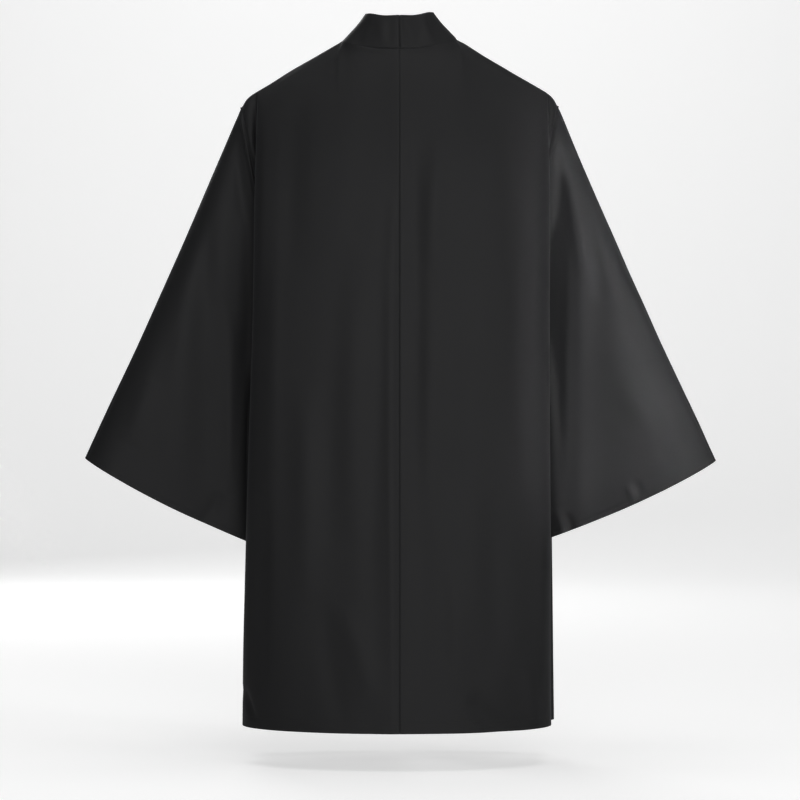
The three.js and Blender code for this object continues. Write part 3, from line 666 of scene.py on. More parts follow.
def share_normals(grids, normals):
    """Gives the points that meet at one place one direction, and returns how many such places there are."""
    meeting = {}
    for name, points in grids.items():
        for row, column in zip(*edge_places(points.shape[:2])):
            place = tuple(np.round(points[row, column], SAME_PLACE))
            meeting.setdefault(place, []).append((name, row, column))
    for met in meeting.values():
        total = sum(normals[name][row, column] for name, row, column in met)
        total /= max(np.linalg.norm(total), SHORTEST)
        for name, row, column in met:
            normals[name][row, column] = total
    return sum(len(met) > 1 for met in meeting.values())


NORMALS = {name: normals_of(name, points) for name, points in GRIDS.items()}
print("points that two or more pieces share:", share_normals(GRIDS, NORMALS))

# %% [markdown]
# ## Creases, puckers and seams
# The large folds are in the sections. What brings cloth to life is smaller: a dent in the collar, a crease
# where the sleeve folds into the armhole, the slight waves that a row of stitches draws up. Each crease is
# given as a stroke from one place to another, with a width and a height, and those of the front are given in
# the same manner as those of the back. Noise alone would look like crumpled paper, so it is kept
# low and long.

# %% Strokes for the creases
STROKE_COLUMNS = ("from_x", "from_z", "to_x", "to_z", "bow", "width", "height")
CREASES = {
    "back_left": (
        (0.166, -0.090, 0.168, -0.340, 0.000, 0.0090, 0.0030),
        (0.126, -0.060, 0.128, -0.300, 0.004, 0.0200, -0.0034),
        (0.060, -0.250, 0.052, -0.620, 0.004, 0.0240, 0.0040),
        (0.072, -0.690, 0.030, -0.826, -0.006, 0.0150, 0.0026),
        (0.090, -0.690, 0.062, -0.850, 0.006, 0.0130, -0.0018),
        (0.191, -0.796, 0.176, -0.838, 0.001, 0.0042, -0.0032),
        (0.164, -0.560, 0.170, -0.800, 0.003, 0.0120, -0.0034),
        (0.118, -0.420, 0.112, -0.690, -0.003, 0.0160, 0.0026),
        (0.012, -0.300, 0.007, -0.860, 0.000, 0.0055, 0.0014),
        (0.030, -0.420, 0.034, -0.700, 0.002, 0.0110, -0.0016),
    ),
    "back_right": (
        (0.049, -0.120, 0.040, -0.290, -0.003, 0.0130, 0.0036),
        (0.040, -0.280, 0.026, -0.620, 0.002, 0.0180, 0.0030),
        (0.018, -0.130, 0.020, -0.330, 0.001, 0.0100, -0.0020),
        (0.136, -0.130, 0.140, -0.500, 0.003, 0.0180, -0.0044),
        (0.163, -0.100, 0.166, -0.420, 0.001, 0.0090, 0.0026),
        (0.112, -0.560, 0.120, -0.780, 0.002, 0.0180, -0.0034),
        (0.084, -0.800, 0.142, -0.856, -0.006, 0.0120, -0.0046),
        (0.150, -0.770, 0.166, -0.846, 0.003, 0.0100, 0.0034),
        (0.062, -0.640, 0.070, -0.800, 0.002, 0.0110, 0.0022),
        (0.172, -0.560, 0.174, -0.800, 0.001, 0.0080, 0.0024),
    ),
    "front_left": (
        (0.078, -0.090, 0.084, -0.260, 0.002, 0.0110, 0.0030),
        (0.120, -0.330, 0.110, -0.560, -0.004, 0.0180, -0.0036),
        (0.080, -0.600, 0.092, -0.800, 0.003, 0.0140, 0.0030),
        (0.160, -0.120, 0.166, -0.300, 0.002, 0.0090, 0.0030),
        (0.070, -0.780, 0.110, -0.850, -0.004, 0.0120, -0.0036),
    ),
    "front_right": (
        (0.084, -0.100, 0.080, -0.300, -0.002, 0.0120, 0.0032),
        (0.116, -0.280, 0.126, -0.520, 0.004, 0.0170, -0.0034),
        (0.092, -0.560, 0.080, -0.760, -0.003, 0.0150, 0.0028),
        (0.162, -0.130, 0.168, -0.340, 0.001, 0.0100, 0.0028),
        (0.128, -0.760, 0.150, -0.850, 0.003, 0.0110, 0.0034),
    ),
    "sleeve_back_left": (
        (0.199, -0.110, 0.190, -0.230, 0.002, 0.0070, -0.0030),
        (0.216, -0.150, 0.222, -0.330, 0.003, 0.0120, 0.0020),
        (0.207, -0.330, 0.210, -0.560, 0.001, 0.0080, 0.0028),
        (0.184, -0.160, 0.186, -0.640, 0.000, 0.0100, -0.0050),
        (0.300, -0.420, 0.330, -0.500, 0.003, 0.0150, 0.0024),
        (0.222, -0.560, 0.246, -0.600, -0.003, 0.0090, -0.0026),
        (0.250, -0.260, 0.268, -0.420, 0.003, 0.0140, 0.0012),
    ),
    "sleeve_back_right": (
        (0.190, -0.080, 0.232, -0.310, 0.000, 0.0110, 0.0042),
        (0.232, -0.180, 0.246, -0.330, 0.002, 0.0110, -0.0026),
        (0.250, -0.425, 0.388, -0.516, 0.004, 0.0120, 0.0009),
        (0.252, -0.450, 0.345, -0.535, 0.004, 0.0120, -0.0009),
        (0.194, -0.580, 0.203, -0.618, 0.003, 0.0050, 0.0040),
        (0.206, -0.586, 0.214, -0.612, 0.002, 0.0045, -0.0026),
        (0.279, -0.549, 0.290, -0.574, 0.002, 0.0032, 0.0024),
        (0.288, -0.544, 0.300, -0.566, 0.002, 0.0032, -0.0020),
        (0.206, -0.240, 0.206, -0.560, 0.001, 0.0065, 0.0022),
    ),
    "sleeve_front_left": (
        (0.197, -0.100, 0.200, -0.220, 0.002, 0.0060, 0.0036),
        (0.214, -0.180, 0.226, -0.400, 0.003, 0.0120, 0.0034),
        (0.262, -0.360, 0.340, -0.500, 0.004, 0.0130, 0.0036),
        (0.200, -0.480, 0.206, -0.600, 0.002, 0.0080, -0.0034),
    ),
    "sleeve_front_right": (
        (0.196, -0.096, 0.190, -0.200, 0.001, 0.0050, 0.0034),
        (0.210, -0.160, 0.218, -0.380, 0.003, 0.0120, 0.0036),
        (0.240, -0.300, 0.300, -0.480, 0.004, 0.0140, 0.0034),
        (0.212, -0.520, 0.230, -0.606, 0.002, 0.0080, -0.0030),
    ),
    "collar_left": (
        (0.024, 0.028, 0.018, -0.010, 0.001, 0.0060, 0.0014),
        (0.010, 0.026, 0.013, -0.012, 0.001, 0.0045, -0.0012),
        (0.040, 0.026, 0.052, -0.010, 0.002, 0.0070, -0.0012),
    ),
    "collar_right": (
        (0.0060, 0.048, 0.0170, -0.014, -0.002, 0.0080, -0.0032),
        (0.0240, 0.046, 0.0400, -0.012, -0.003, 0.0085, 0.0040),
    ),
}
CREASE_BLUNT = 0.75


def stroke_height(strokes, x, z):
    """How far a set of strokes lifts the cloth at places x outwards and z up."""
    height = np.zeros(np.broadcast(x, z).shape)
    for row in strokes:
        stroke = dict(zip(STROKE_COLUMNS, row))
        reach_x, reach_z = stroke["to_x"] - stroke["from_x"], stroke["to_z"] - stroke["from_z"]
        length = math.hypot(reach_x, reach_z)
        from_x, from_z = x - stroke["from_x"], z - stroke["from_z"]
        share = np.clip((from_x * reach_x + from_z * reach_z) / length**2, 0, 1)
        off = (from_z * reach_x - from_x * reach_z) / length - stroke["bow"] * 4 * share * (1 - share)
        rise = np.maximum(np.sin(np.pi * share), 0) ** CREASE_BLUNT
        height += stroke["height"] * np.exp(-((off / stroke["width"]) ** 2)) * rise
    return height


print("creases placed by hand:", sum(len(strokes) for strokes in CREASES.values()))

# %% Slight waves in the cloth, and waves that stitches draw up
# Each wave: radians for a metre across, radians for a metre up, where it starts in radians, and its height.
DRIFT = (
    (62.0, 5.0, 0.3, 0.00026),
    (94.0, 9.0, 2.1, 0.00018),
    (38.0, 13.0, 4.0, 0.00022),
    (146.0, 17.0, 1.2, 0.00010),
)
PUCKER_LENGTHS = (0.0093, 0.0137, 0.0241)  # three lengths that never fall in step
PUCKER_START = 900.0  # radians for a metre of length, so that the three start apart


def drift_height(x, z):
    """Long low waves, mostly across the hang of the cloth."""
    return sum(height * np.sin(across * x + up * z + start) for across, up, start, height in DRIFT)


def pucker_wave(run):
    """An uneven wave along a seam, between -1 and 1."""
    waves = [np.sin(2 * np.pi * run / length + PUCKER_START * length) for length in PUCKER_LENGTHS]
    return sum(waves) / len(waves)


def runs(points, axis):
    """How far each point is along its column (axis 0) or its row (axis 1), measured on the cloth."""
    steps = np.linalg.norm(np.diff(points, axis=axis), axis=2)
    start = np.zeros_like(np.take(steps, [0], axis=axis))
    return np.concatenate([start, steps.cumsum(axis=axis)], axis=axis)


# %% [markdown]
# ## From a surface to real cloth
# Cloth has two faces and an edge. The inner face could come from a Solidify modifier, but its thickness is
# the same all over. Here it is made point by point, because the cloth is one layer in the middle, two along
# the seam allowances that are pressed open inside, and three in a turned hem, which also gives a hem its
# round edge.

# %% Edges of each kind of piece: what is sewn, what is hemmed and what is folded
EDGES = {
    "back": {"top": "neck seam", "bottom": "hem", "first": "centre seam", "last": "armhole seam"},
    "front": {"top": "neck seam", "bottom": "hem", "first": "neck seam", "last": "armhole seam"},
    "sleeve_back": {"top": "sleeve seam", "bottom": "sleeve seam", "first": "armhole seam", "last": "cuff"},
    "sleeve_front": {"top": "sleeve seam", "bottom": "sleeve seam", "first": "armhole seam", "last": "cuff"},
    "collar": {"top": "band seam", "bottom": "end", "first": "neck seam", "last": "fold"},
}
print("kinds of edge:", ", ".join(sorted({edge for edges in EDGES.values() for edge in edges.values()})))

# %% Grooves along the seams, and the roll beside the armhole
GROOVES = {  # depth and width
    "centre seam": (0.0007, 0.0008),
    "neck seam": (0.0015, 0.0011),
    "band seam": (0.0012, 0.0010),
    "sleeve seam": (0.0009, 0.0010),
    "armhole seam": (0.0008, 0.0011),
    "armhole seam where the arm lifts it": (0.0013, 0.0016),
}
LIFTED_ARMHOLE = {"begins": (-0.33, -0.22), "ends": (-0.125, -0.090)}  # heights z, from below to above
NECK_GROOVE_ENDS = (0.022, 0.054)  # distances from the centre
SEAM_ROLL = {"height": 0.0034, "off": 0.0046, "width": 0.0026}
ROLLED = {"begins": (-0.31, -0.17), "ends": (-0.110, -0.085)}


def between(z, begins, ends):
    """1 between two heights, and 0 below and above them."""
    return smoothstep(z, *begins) * (1 - smoothstep(z, *ends))


def seam_groove(seam, x, z):
    """Depth and width of the groove along a seam. Both pieces read it at the places that they share."""
    depth, width = GROOVES[seam]
    if seam == "armhole seam":
        deep = between(z, **LIFTED_ARMHOLE)
        deep_depth, deep_width = GROOVES["armhole seam where the arm lifts it"]
        return lerp(depth, deep_depth, deep), lerp(width, deep_width, deep)
    if seam == "neck seam":
        return lerp(depth, 0.0, smoothstep(x, *NECK_GROOVE_ENDS)), width
    return depth, width


def seam_roll(off, z):
    """The soft roll that the seam allowances push up in a sleeve, at distances off the armhole."""
    ridge = SEAM_ROLL["height"] * np.exp(-(((off - SEAM_ROLL["off"]) / SEAM_ROLL["width"]) ** 2))
    return ridge * between(z, **ROLLED)


print("the deepest groove is", max(depth for depth, _ in GROOVES.values()) * 1000, "mm")

# %% Layers, hems and the outer face
LAYER = 0.0005  # one layer of cloth
BAND_THICK = 0.0019
ALLOWANCE = 0.010  # width of the seam allowance inside
HEM_WIDTH = {"hem": 0.018, "cuff": 0.0065, "end": 0.008}
HEM_LAYERS = {"hem": 3, "cuff": 3, "end": 1}
STITCH_AT = 0.8  # part of the hem's width at which it is stitched down
CREASE_CALM = 0.010  # creases fade out this near a seam
BAND_CREASE_CALM = CREASE_CALM / 3
SEAM_STILL = 0.002  # puckers and rolls fade out this near an edge, where two pieces must meet
PUCKER = {"seam": 0.00014, "hem": 0.00010, "cuff": 0.00034, "end": 0.00008, "fold": 0.0}
PUCKER_REACH = 0.008
STITCH_DIP = {"hem": 0.00022, "cuff": 0.00060, "end": 0.00020}  # how deep a row of stitches pulls
STITCH_DIP_WIDTH = 0.0010
STEP_WIDTH = 0.0006  # the edge of a hidden layer shows as a step this soft
THINNEST = LAYER / 5  # where an edge is rounded off


def edge_distances(points):
    """For each edge: how far every point is from it, and how far along it."""
    down, across = runs(points, 0), runs(points, 1)
    return {
        "top": (down, across),
        "bottom": (down[-1:] - down, across),
        "first": (across, down),
        "last": (across[:, -1:] - across, down),
    }


def dress(name, points, normals):
    """Adds creases, sunk seams and stitched hems to a grid. Returns the outer face and its thickness."""
    kind = kind_of(name)
    x, z = points[..., 0] * side_sign(name), points[..., 2]
    lift = stroke_height(CREASES[name], x, z) + drift_height(points[..., 0], z)
    crease_calm = BAND_CREASE_CALM if kind == "collar" else CREASE_CALM
    layers = np.full(x.shape, BAND_THICK / LAYER if kind == "collar" else 1.0)
    round_off = np.zeros(x.shape)
    distances = [(EDGES[kind][edge], off, along) for edge, (off, along) in edge_distances(points).items()]
    for sewn, off, along in distances:
        pucker = PUCKER.get(sewn, PUCKER["seam"]) * pucker_wave(along)
        lift += pucker * np.exp(-((off / PUCKER_REACH) ** 2)) * smoothstep(off, 0, SEAM_STILL)
        if sewn.endswith("seam") or sewn == "fold":
            lift *= smoothstep(off, 0, crease_calm)
        if sewn == "armhole seam" and kind.startswith("sleeve"):
            lift += seam_roll(off, z) * smoothstep(off, 0, SEAM_STILL)
    groove = np.zeros(x.shape)
    for sewn, off, along in distances:
        if sewn.endswith("seam"):
            depth, width = seam_groove(sewn, x, z)
            groove = np.maximum(groove, depth * np.exp(-((off / width) ** 2)))
            if kind != "collar":
                layers = np.maximum(layers, 1 + smoothstep(ALLOWANCE - off, 0, STEP_WIDTH))
            continue
        if sewn == "fold":
            full = BAND_THICK
        else:
            inside = smoothstep(HEM_WIDTH[sewn] - off, 0, STEP_WIDTH)
            layers = np.maximum(layers, 1 + (HEM_LAYERS[sewn] - 1) * inside)
            from_stitches = off - HEM_WIDTH[sewn] * STITCH_AT
            lift -= STITCH_DIP[sewn] * np.exp(-((from_stitches / STITCH_DIP_WIDTH) ** 2))
            full = BAND_THICK if kind == "collar" else LAYER * HEM_LAYERS[sewn]
        near = np.clip(1 - off / (full / 2), 0, 1)
        round_off = np.maximum(round_off, full / 2 * (1 - np.sqrt(1 - near**2)))
    outer = points + normals * (lift - groove - round_off)[..., None]
    thickness = np.maximum(layers * LAYER - 2 * round_off, THINNEST)
    return outer, thickness


def grid_faces(rows, columns, flip):
    """Quads of a grid of points, and the loop of points round its edge."""
    number = np.arange(rows * columns).reshape(rows, columns)
    quads = np.stack([number[:-1, :-1], number[:-1, 1:], number[1:, 1:], number[1:, :-1]], axis=-1)
    quads = quads.reshape(-1, 4)
    rim = np.concatenate([number[0], number[1:, -1], number[-1, -2::-1], number[-2:0:-1, 0]])
    return (quads[:, ::-1], rim[::-1]) if flip else (quads, rim)


def cloth_mesh(name, outer, normals, thickness):
    """A closed mesh of a piece: outer face, inner face and the strip round the edge. Its UV is in metres."""
    rows, columns = outer.shape[:2]
    inner = outer - normals * thickness[..., None]
    quads, rim = grid_faces(rows, columns, flip=FACING[kind_of(name)] * side_sign(name) > 0)
    count = rows * columns
    around = np.roll(rim, -1)
    strip = np.stack([rim, rim + count, around + count, around], axis=-1)
    faces = np.concatenate([quads, quads[:, ::-1] + count, strip])
    mesh = bpy.data.meshes.new(f"cloth_{name}")
    both_faces = np.concatenate([outer.reshape(-1, 3), inner.reshape(-1, 3)])
    mesh.from_pydata(both_faces.tolist(), [], faces.tolist())
    cut = np.stack([runs(outer, 1), -runs(outer, 0)], axis=-1).reshape(-1, 2)
    uv = mesh.uv_layers.new(name="cut_in_metres")
    corners = np.zeros(len(mesh.loops), np.int32)
    mesh.loops.foreach_get("vertex_index", corners)
    uv.data.foreach_set("uv", np.concatenate([cut, cut])[corners].astype(np.float32).ravel())
    mesh.polygons.foreach_set("use_smooth", np.ones(len(mesh.polygons), bool))
    mesh.validate()
    mesh.update()
    return mesh


# %% Make the ten sheets of cloth
scene = bpy.context.scene
SHEETS, OUTER = {}, {}
for name, points in GRIDS.items():
    OUTER[name], thickness = dress(name, points, NORMALS[name])
    sheet = bpy.data.objects.new(f"cloth_{name}", cloth_mesh(name, OUTER[name], NORMALS[name], thickness))
    scene.collection.objects.link(sheet)
    SHEETS[name] = sheet
    print(f"{sheet.name}: {len(sheet.data.polygons)} faces")

# %% [markdown]
# ## The finish of black polyester
# The real cloth is a fine plain weave that looks almost smooth: nearly black, dull in the middle and a little
# silvery where it turns away. A single dark colour would look like rubber. So the weave and the slight
# unevenness of dyed cloth are two shader groups that each material uses with its own values, and the silvery
# turn comes from the shader's own sheen.

# %% A shader group for the weave, and one for uneven dye


def new_group(name, inputs, outputs):
    """An empty shader group. An input with no value is a vector."""
    group = bpy.data.node_groups.new(name, "ShaderNodeTree")
    for socket, value in inputs.items():
        kind = "NodeSocketVector" if value is None else "NodeSocketFloat"
        made = group.interface.new_socket(socket, in_out="INPUT", socket_type=kind)
        if value is not None:
            made.default_value = value
    for socket, kind in outputs.items():
        group.interface.new_socket(socket, in_out="OUTPUT", socket_type=kind)
    return group, group.nodes.new("NodeGroupInput"), group.nodes.new("NodeGroupOutput")


def node(tree, kind, settings=(), links=()):
    """Adds a node. settings sets its properties or input values, and links joins outputs to its inputs."""
    made = tree.nodes.new(kind)
    for key, value in dict(settings).items():
        if isinstance(key, int) or key in made.inputs:
            made.inputs[key].default_value = value
        else:
            setattr(made, key, value)
    for key, output in dict(links).items():
        tree.links.new(output, made.inputs[key])
    return made


def maths(tree, operation, first, second=None):
    """Adds a Math node. Its inputs are numbers or the outputs of other nodes."""
    made = tree.nodes.new("ShaderNodeMath")
    made.operation = operation
    for socket, value in zip(made.inputs, (first, second)):
        if isinstance(value, (int, float)):
            socket.default_value = value
        elif value is not None:
            tree.links.new(value, socket)
    return made.outputs[0]


weave, into, out = new_group(
    "plain weave", {"Cut": None, "Threads per metre": 2400.0}, {"Height": "NodeSocketFloat"}
)
split = node(weave, "ShaderNodeSeparateXYZ", links={0: into.outputs["Cut"]})
waves = []
for axis in ("X", "Y"):
    turns = maths(weave, "MULTIPLY", split.outputs[axis], into.outputs["Threads per metre"])
    waves.append(maths(weave, "SINE", maths(weave, "MULTIPLY", turns, math.pi)))
over = maths(weave, "MULTIPLY", waves[0], waves[1])
weave.links.new(maths(weave, "MULTIPLY_ADD", over, 0.5), out.inputs["Height"])

dye, into, out = new_group(
    "uneven dye", {"Place": None, "Patch size": 14.0, "Amount": 0.12}, {"Factor": "NodeSocketFloat"}
)
patches = node(
    dye,
    "ShaderNodeTexNoise",
    {"Detail": 3.0, "Roughness": 0.55},
    {"Vector": into.outputs["Place"], "Scale": into.outputs["Patch size"]},
)
centred = maths(dye, "SUBTRACT", patches.outputs["Fac"], 0.5)
swing = maths(dye, "MULTIPLY", centred, into.outputs["Amount"])
dye.links.new(maths(dye, "ADD", swing, 1.0), out.inputs["Factor"])
print("shader groups:", weave.name, "and", dye.name)

# %% The cloth, the pressed band and the sewing thread
BLACK = (0.0125, 0.0126, 0.0132)
SHEEN = {"weight": 0.04, "roughness": 0.42, "tint": (0.93, 0.95, 1.0, 1.0)}
SHINE = 0.16  # of the threads themselves


def cloth_material(name, roughness, weave_depth, threads):
    """Black cloth with an uneven dye, a weave of so many threads to a metre and a little sheen."""
    material = bpy.data.materials.new(name)
    material.use_nodes = True
    tree = material.node_tree
    shader = tree.nodes["Principled BSDF"]
    shader.inputs["Specular IOR Level"].default_value = SHINE
    shader.inputs["Sheen Weight"].default_value = SHEEN["weight"]
    shader.inputs["Sheen Roughness"].default_value = SHEEN["roughness"]
    shader.inputs["Sheen Tint"].default_value = SHEEN["tint"]
    place = node(tree, "ShaderNodeTexCoord")
    uneven = node(tree, "ShaderNodeGroup", {"node_tree": dye})
    tree.links.new(place.outputs["Object"], uneven.inputs["Place"])
    tone = node(tree, "ShaderNodeVectorMath", {"operation": "SCALE"})
    tone.inputs[0].default_value = BLACK
    tree.links.new(uneven.outputs["Factor"], tone.inputs["Scale"])
    tree.links.new(tone.outputs[0], shader.inputs["Base Color"])
    rough = maths(tree, "MULTIPLY", uneven.outputs["Factor"], roughness)
    tree.links.new(rough, shader.inputs["Roughness"])
    woven = node(tree, "ShaderNodeGroup", {"node_tree": weave})
    woven.inputs["Threads per metre"].default_value = threads
    tree.links.new(place.outputs["UV"], woven.inputs["Cut"])
    bump = node(tree, "ShaderNodeBump", {"Strength": 0.35, "Distance": weave_depth})
    tree.links.new(woven.outputs["Height"], bump.inputs["Height"])
    tree.links.new(bump.outputs["Normal"], shader.inputs["Normal"])
    return material


MATERIALS = {
    "cloth": cloth_material("black cloth", roughness=0.68, weave_depth=0.00006, threads=2400),
    "band": cloth_material("pressed band", roughness=0.66, weave_depth=0.00006, threads=2400),
    "thread": cloth_material("black thread", roughness=0.5, weave_depth=0.00003, threads=5200),
}
for name, sheet in SHEETS.items():
    sheet.data.materials.append(MATERIALS["band" if kind_of(name) == "collar" else "cloth"])
print("materials:", ", ".join(material.name for material in MATERIALS.values()))

# %% [markdown]
# ## Stitches along the hems
# The hem, the cuffs and the ends of the band are stitched down from the right side. Each stitch is a short
# round thread that dips into the cloth at both ends. One could copy a stitch by hand with an array, but a
# Geometry Nodes tree does it along any line: it spaces points evenly, turns a stitch to lie along the line
# and square to the cloth, and varies each a little.

# %% A Geometry Nodes tree that sews a line
STITCH = {"length": 0.0024, "gap": 0.0007, "radius": 0.00020, "seed": 11}
STITCH_SCALES = (0.88, 1.06)  # the least and the most of a stitch's size
STITCH_STAND = 0.3  # part of the thread's radius by which its middle lies above the cloth


def stitch_tree(material):
    """Sews along the edges of a mesh, whose points say which way is square to the cloth."""
    tree = bpy.data.node_groups.new("row of stitches", "GeometryNodeTree")
    tree.interface.new_socket("Geometry", in_out="INPUT", socket_type="NodeSocketGeometry")
    sizes = {"Stitch length": STITCH["length"], "Gap": STITCH["gap"], "Thread radius": STITCH["radius"]}
    for label, value in sizes.items():
        size = tree.interface.new_socket(label, in_out="INPUT", socket_type="NodeSocketFloat")
        size.default_value = value
    seed = tree.interface.new_socket("Seed", in_out="INPUT", socket_type="NodeSocketInt")
    seed.default_value = STITCH["seed"]
    tree.interface.new_socket("Geometry", in_out="OUTPUT", socket_type="NodeSocketGeometry")
    into, out = tree.nodes.new("NodeGroupInput"), tree.nodes.new("NodeGroupOutput")
    line = node(tree, "GeometryNodeMeshToCurve", links={"Mesh": into.outputs["Geometry"]})
    pitch = maths(tree, "ADD", into.outputs["Stitch length"], into.outputs["Gap"])
    spaced = node(
        tree,
        "GeometryNodeCurveToPoints",
        {"mode": "LENGTH"},
        {"Curve": line.outputs[0], "Length": pitch},
    )
    square = node(
        tree,
        "GeometryNodeInputNamedAttribute",
        {"data_type": "FLOAT_VECTOR", "Name": "square_to_cloth"},
    )
    along = node(
        tree,
        "FunctionNodeAlignRotationToVector",
        {"axis": "X"},
        {"Vector": spaced.outputs["Tangent"]},
    )
    upright = node(
        tree,
        "FunctionNodeAlignRotationToVector",
        {"axis": "Z", "pivot_axis": "X"},
        {"Rotation": along.outputs[0], "Vector": square.outputs["Attribute"]},
    )
    vary = node(tree, "FunctionNodeRandomValue", {"data_type": "FLOAT"}, {"Seed": into.outputs["Seed"]})
    vary.inputs[2].default_value, vary.inputs[3].default_value = STITCH_SCALES
    half = maths(tree, "MULTIPLY", into.outputs["Stitch length"], 0.5)
    radius = into.outputs["Thread radius"]
    half_sizes = node(tree, "ShaderNodeCombineXYZ", links={"X": half, "Y": radius, "Z": radius})
    ball = node(tree, "GeometryNodeMeshUVSphere", {"Segments": 8, "Rings": 6, "Radius": 1.0})
    stitch = node(
        tree,
        "GeometryNodeTransform",
        links={"Geometry": ball.outputs["Mesh"], "Scale": half_sizes.outputs[0]},
    )
    sewn = node(
        tree,
        "GeometryNodeInstanceOnPoints",
        links={
            "Points": spaced.outputs["Points"],
            "Instance": stitch.outputs[0],
            "Rotation": upright.outputs[0],
            "Scale": vary.outputs[1],
        },
    )
    real = node(tree, "GeometryNodeRealizeInstances", links={0: sewn.outputs[0]})
    smooth = node(tree, "GeometryNodeSetShadeSmooth", links={0: real.outputs[0]})
    finished = node(tree, "GeometryNodeSetMaterial", {"Material": material}, {"Geometry": smooth.outputs[0]})
    tree.links.new(finished.outputs[0], out.inputs[0])
    return tree


SEWING = stitch_tree(MATERIALS["thread"])
print("the stitch tree has", len(SEWING.nodes), "nodes")

# %% Sew each hem and cuff


def line_inside(name, edge, distance):
    """The line on the outer face at a distance from an edge, and the cloth's direction there."""
    points, normals = OUTER[name], NORMALS[name]
    if edge == "last":
        points, normals = points.swapaxes(0, 1), normals.swapaxes(0, 1)
    off = runs(points, 0)
    off = off[-1:] - off
    row = np.argmax(off <= distance, axis=0)
    column = np.arange(points.shape[1])
    share = (off[row - 1, column] - distance) / (off[row - 1, column] - off[row, column])
    return (
        lerp(points[row - 1, column], points[row, column], share[:, None]),
        lerp(normals[row - 1, column], normals[row, column], share[:, None]),
    )


def sew(name, edge, hem):
    """A row of stitches on a piece, as a plain mesh."""
    line, square = line_inside(name, edge, HEM_WIDTH[hem] * STITCH_AT)
    line = line + square * STITCH["radius"] * STITCH_STAND
    mesh = bpy.data.meshes.new(f"line_{name}")
    mesh.from_pydata(line.tolist(), [(i, i + 1) for i in range(len(line) - 1)], [])
    mesh.attributes.new("square_to_cloth", "FLOAT_VECTOR", "POINT").data.foreach_set(
        "vector", square.astype(np.float32).ravel()
    )
    guide = bpy.data.objects.new(f"line_{name}", mesh)
    scene.collection.objects.link(guide)
    guide.modifiers.new("sewing", "NODES").node_group = SEWING
    ready = guide.evaluated_get(bpy.context.evaluated_depsgraph_get())
    stitches = bpy.data.objects.new(f"stitches_{name}", bpy.data.meshes.new_from_object(ready))
    scene.collection.objects.link(stitches)
    bpy.data.objects.remove(guide)
    return stitches


STITCHES = {}
for name in SHEETS:
    for edge, hem in EDGES[kind_of(name)].items():
        if hem in HEM_WIDTH:
            STITCHES[name] = sew(name, edge, hem)
print("stitched edges:", len(STITCHES), "with", sum(len(s.data.polygons) for s in STITCHES.values()), "faces")

# %% [markdown]
# ## Each piece in place of its solid
# Every sheet stands for its solid in the frame, which is hidden, and rides on the one body, as do its
# stitches. Cloth hardly stretches, and its lengths along the cloth are measured here, but nothing uses them.

# %% Ride on the body, and hide the solid
for name, sheet in SHEETS.items():
    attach(sheet, "root")
    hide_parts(name)
    across, down = runs(OUTER[name], 1), runs(OUTER[name], 0)
    corners = OUTER[name][:-1, :-1], OUTER[name][1:, :-1], OUTER[name][:-1, 1:], OUTER[name][1:, 1:]
    on_it = [STITCHES[name]] if name in STITCHES else []
    for stitches in on_it:
        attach(stitches, "root")

# %% [markdown]
# ## Studio
# Product pictures of dark clothes are taken against a pale sweep, with one large soft light beside the
# camera and weaker ones above and on one side, so that black cloth shows its folds. Two narrow lamps bring
# out one sleeve. The jacket hangs just above the floor, as on a wearer that isn't there, so its shadow is a
# soft pool under the hem.

# %% Camera
FIGURE_CENTRE_Z = -0.445
CAMERA_DISTANCE = 3.5
CAMERA_X = -0.0006  # the picture's middle, which is a hair off the centre seam
FRAME_WIDTH = 0.992  # what the picture takes in at the jacket
camera_data = bpy.data.cameras.new("camera")
camera_data.sensor_width = 36.0
camera_data.lens = camera_data.sensor_width * CAMERA_DISTANCE / FRAME_WIDTH
camera = bpy.data.objects.new("camera", camera_data)
camera.location = (CAMERA_X, CAMERA_DISTANCE, FIGURE_CENTRE_Z)
camera.rotation_euler = (math.radians(90), 0, math.radians(180))
scene.collection.objects.link(camera)
scene.camera = camera
print(f"camera with a {camera_data.lens:.0f} mm lens, {CAMERA_DISTANCE} m behind the jacket")

# %% Floor and sweep
FLOOR_Z = -0.893
PAPER_GLOW = 0.52  # the paper glows for the camera alone, so that it doesn't light the cloth's edges
SWEEP = {"half_width": 7.0, "near": 3.9, "far": -6.5, "radius": 3.0, "top": 5.0, "steps": 24}


def sweep_profile():
    """The floor from its near edge to the back, a quarter turn up, and the wall, as (y, z)."""
    centre_y, centre_z = SWEEP["far"] + SWEEP["radius"], FLOOR_Z + SWEEP["radius"]
    profile = [(SWEEP["near"], FLOOR_Z)]
    for step in range(SWEEP["steps"] + 1):
        turn = math.pi / 2 * step / SWEEP["steps"]
        y = centre_y - SWEEP["radius"] * math.sin(turn)
        z = centre_z - SWEEP["radius"] * math.cos(turn)
        profile.append((y, z))
    return profile + [(SWEEP["far"], SWEEP["top"])]


profile = sweep_profile()
corners = [(side * SWEEP["half_width"], y, z) for y, z in profile for side in (-1, 1)]
faces = [(2 * i, 2 * i + 1, 2 * i + 3, 2 * i + 2) for i in range(len(profile) - 1)]
sweep_mesh = bpy.data.meshes.new("sweep")
sweep_mesh.from_pydata(corners, [], faces)
sweep_mesh.polygons.foreach_set("use_smooth", np.ones(len(faces), bool))
sweep = bpy.data.objects.new("sweep", sweep_mesh)
scene.collection.objects.link(sweep)
sweep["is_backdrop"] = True
paper = bpy.data.materials.new("pale paper")
paper.use_nodes = True
paper_shader = paper.node_tree.nodes["Principled BSDF"]
paper_shader.inputs["Base Color"].default_value = (0.72, 0.72, 0.72, 1)
paper_shader.inputs["Roughness"].default_value = 1.0
paper_shader.inputs["Specular IOR Level"].default_value = 0.0
paper_shader.inputs["Emission Color"].default_value = (1, 1, 1, 1)
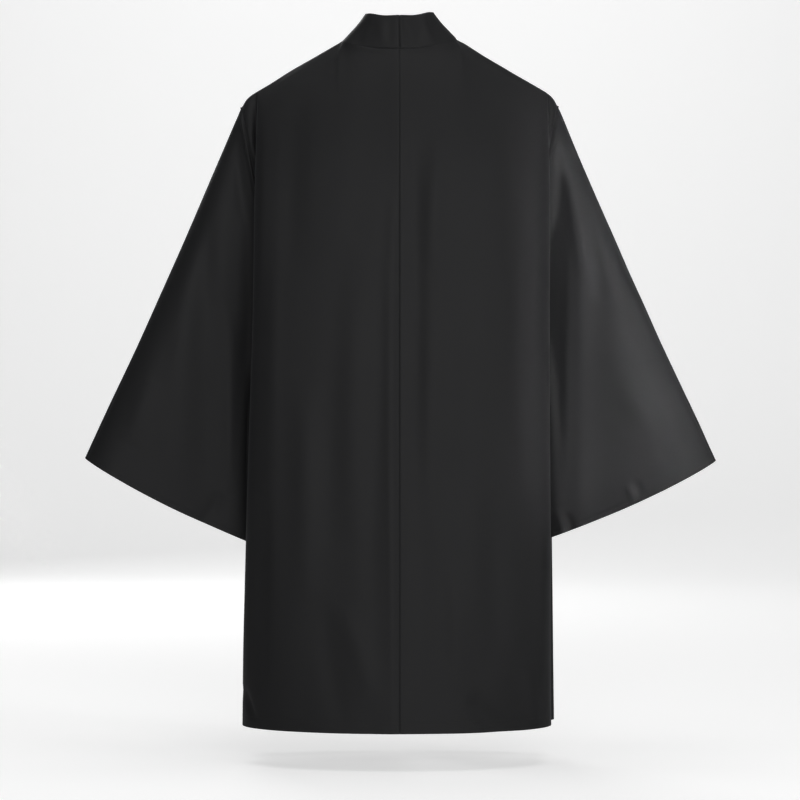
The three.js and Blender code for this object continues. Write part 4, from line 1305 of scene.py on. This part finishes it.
seen = node(paper.node_tree, "ShaderNodeLightPath").outputs["Is Camera Ray"]
glow = maths(paper.node_tree, "MULTIPLY", seen, PAPER_GLOW)
paper.node_tree.links.new(glow, paper_shader.inputs["Emission Strength"])
sweep_mesh.materials.append(paper)
print("floor at", FLOOR_Z)

# %% Lights


def soft_light(name, place, aim, size, watts, beam=180):
    """A rectangle of light that faces a place. A grid on a lamp gives it a narrow beam, in degrees."""
    data = bpy.data.lights.new(name, "AREA")
    data.shape = "RECTANGLE"
    data.size, data.size_y = size
    data.energy = watts
    data.spread = math.radians(beam)
    light = bpy.data.objects.new(name, data)
    light.location = place
    away = np.array(place) - np.array(aim)
    flat = math.hypot(away[0], away[1])
    light.rotation_euler = (math.atan2(flat, away[2]), 0, math.atan2(away[1], away[0]) + math.pi / 2)
    light.visible_camera = False
    scene.collection.objects.link(light)


JACKET = (0, 0, FIGURE_CENTRE_Z)
BEYOND_PAPER = 0.90  # how bright it is past the edge of the paper, for the camera alone
soft_light("large softbox", (-0.5, 3.6, 0.0), JACKET, (2.5, 1.5), 89)
soft_light("overhead softbox", (0, 0.3, 2.4), (0, 0, -0.9), (2.6, 2.6), 38)
soft_light("right softbox", (-2.6, 1.6, 0.3), JACKET, (1.5, 2.4), 11)
soft_light("sleeve lamp", (-0.75, 1.30, -0.22), (-0.275, 0.03, -0.33), (0.22, 0.50), 0.44, beam=6)
soft_light("rim lamp", (-1.7, 1.0, 0.0), (-0.42, 0.03, -0.36), (0.15, 0.5), 0.2, beam=18)
soft_light("background lamp", (0, -3.9, 3.0), (0, -6.5, 0.9), (3.0, 0.5), 50)
soft_light("front softbox", (0.9, -3.2, 0.9), JACKET, (1.6, 1.6), 34)
world = bpy.data.worlds.new("studio")
world.use_nodes = True
seen = node(world.node_tree, "ShaderNodeLightPath").outputs["Is Camera Ray"]
beyond = world.node_tree.nodes["Background"]
beyond.inputs["Color"].default_value = (1, 1, 1, 1)
brightness = maths(world.node_tree, "MULTIPLY", seen, BEYOND_PAPER)
world.node_tree.links.new(brightness, beyond.inputs["Strength"])
scene.world = world
scene.view_settings.view_transform = "Standard"

# %% Print the sizes of the solids and of the cloth
boxes = {"cad": cad_box, "visual": [list(corner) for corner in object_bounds()]}
for name, (low, high) in boxes.items():
    print(name, "box in mm:", [round(v * 1000) for v in low], [round(v * 1000) for v in high])
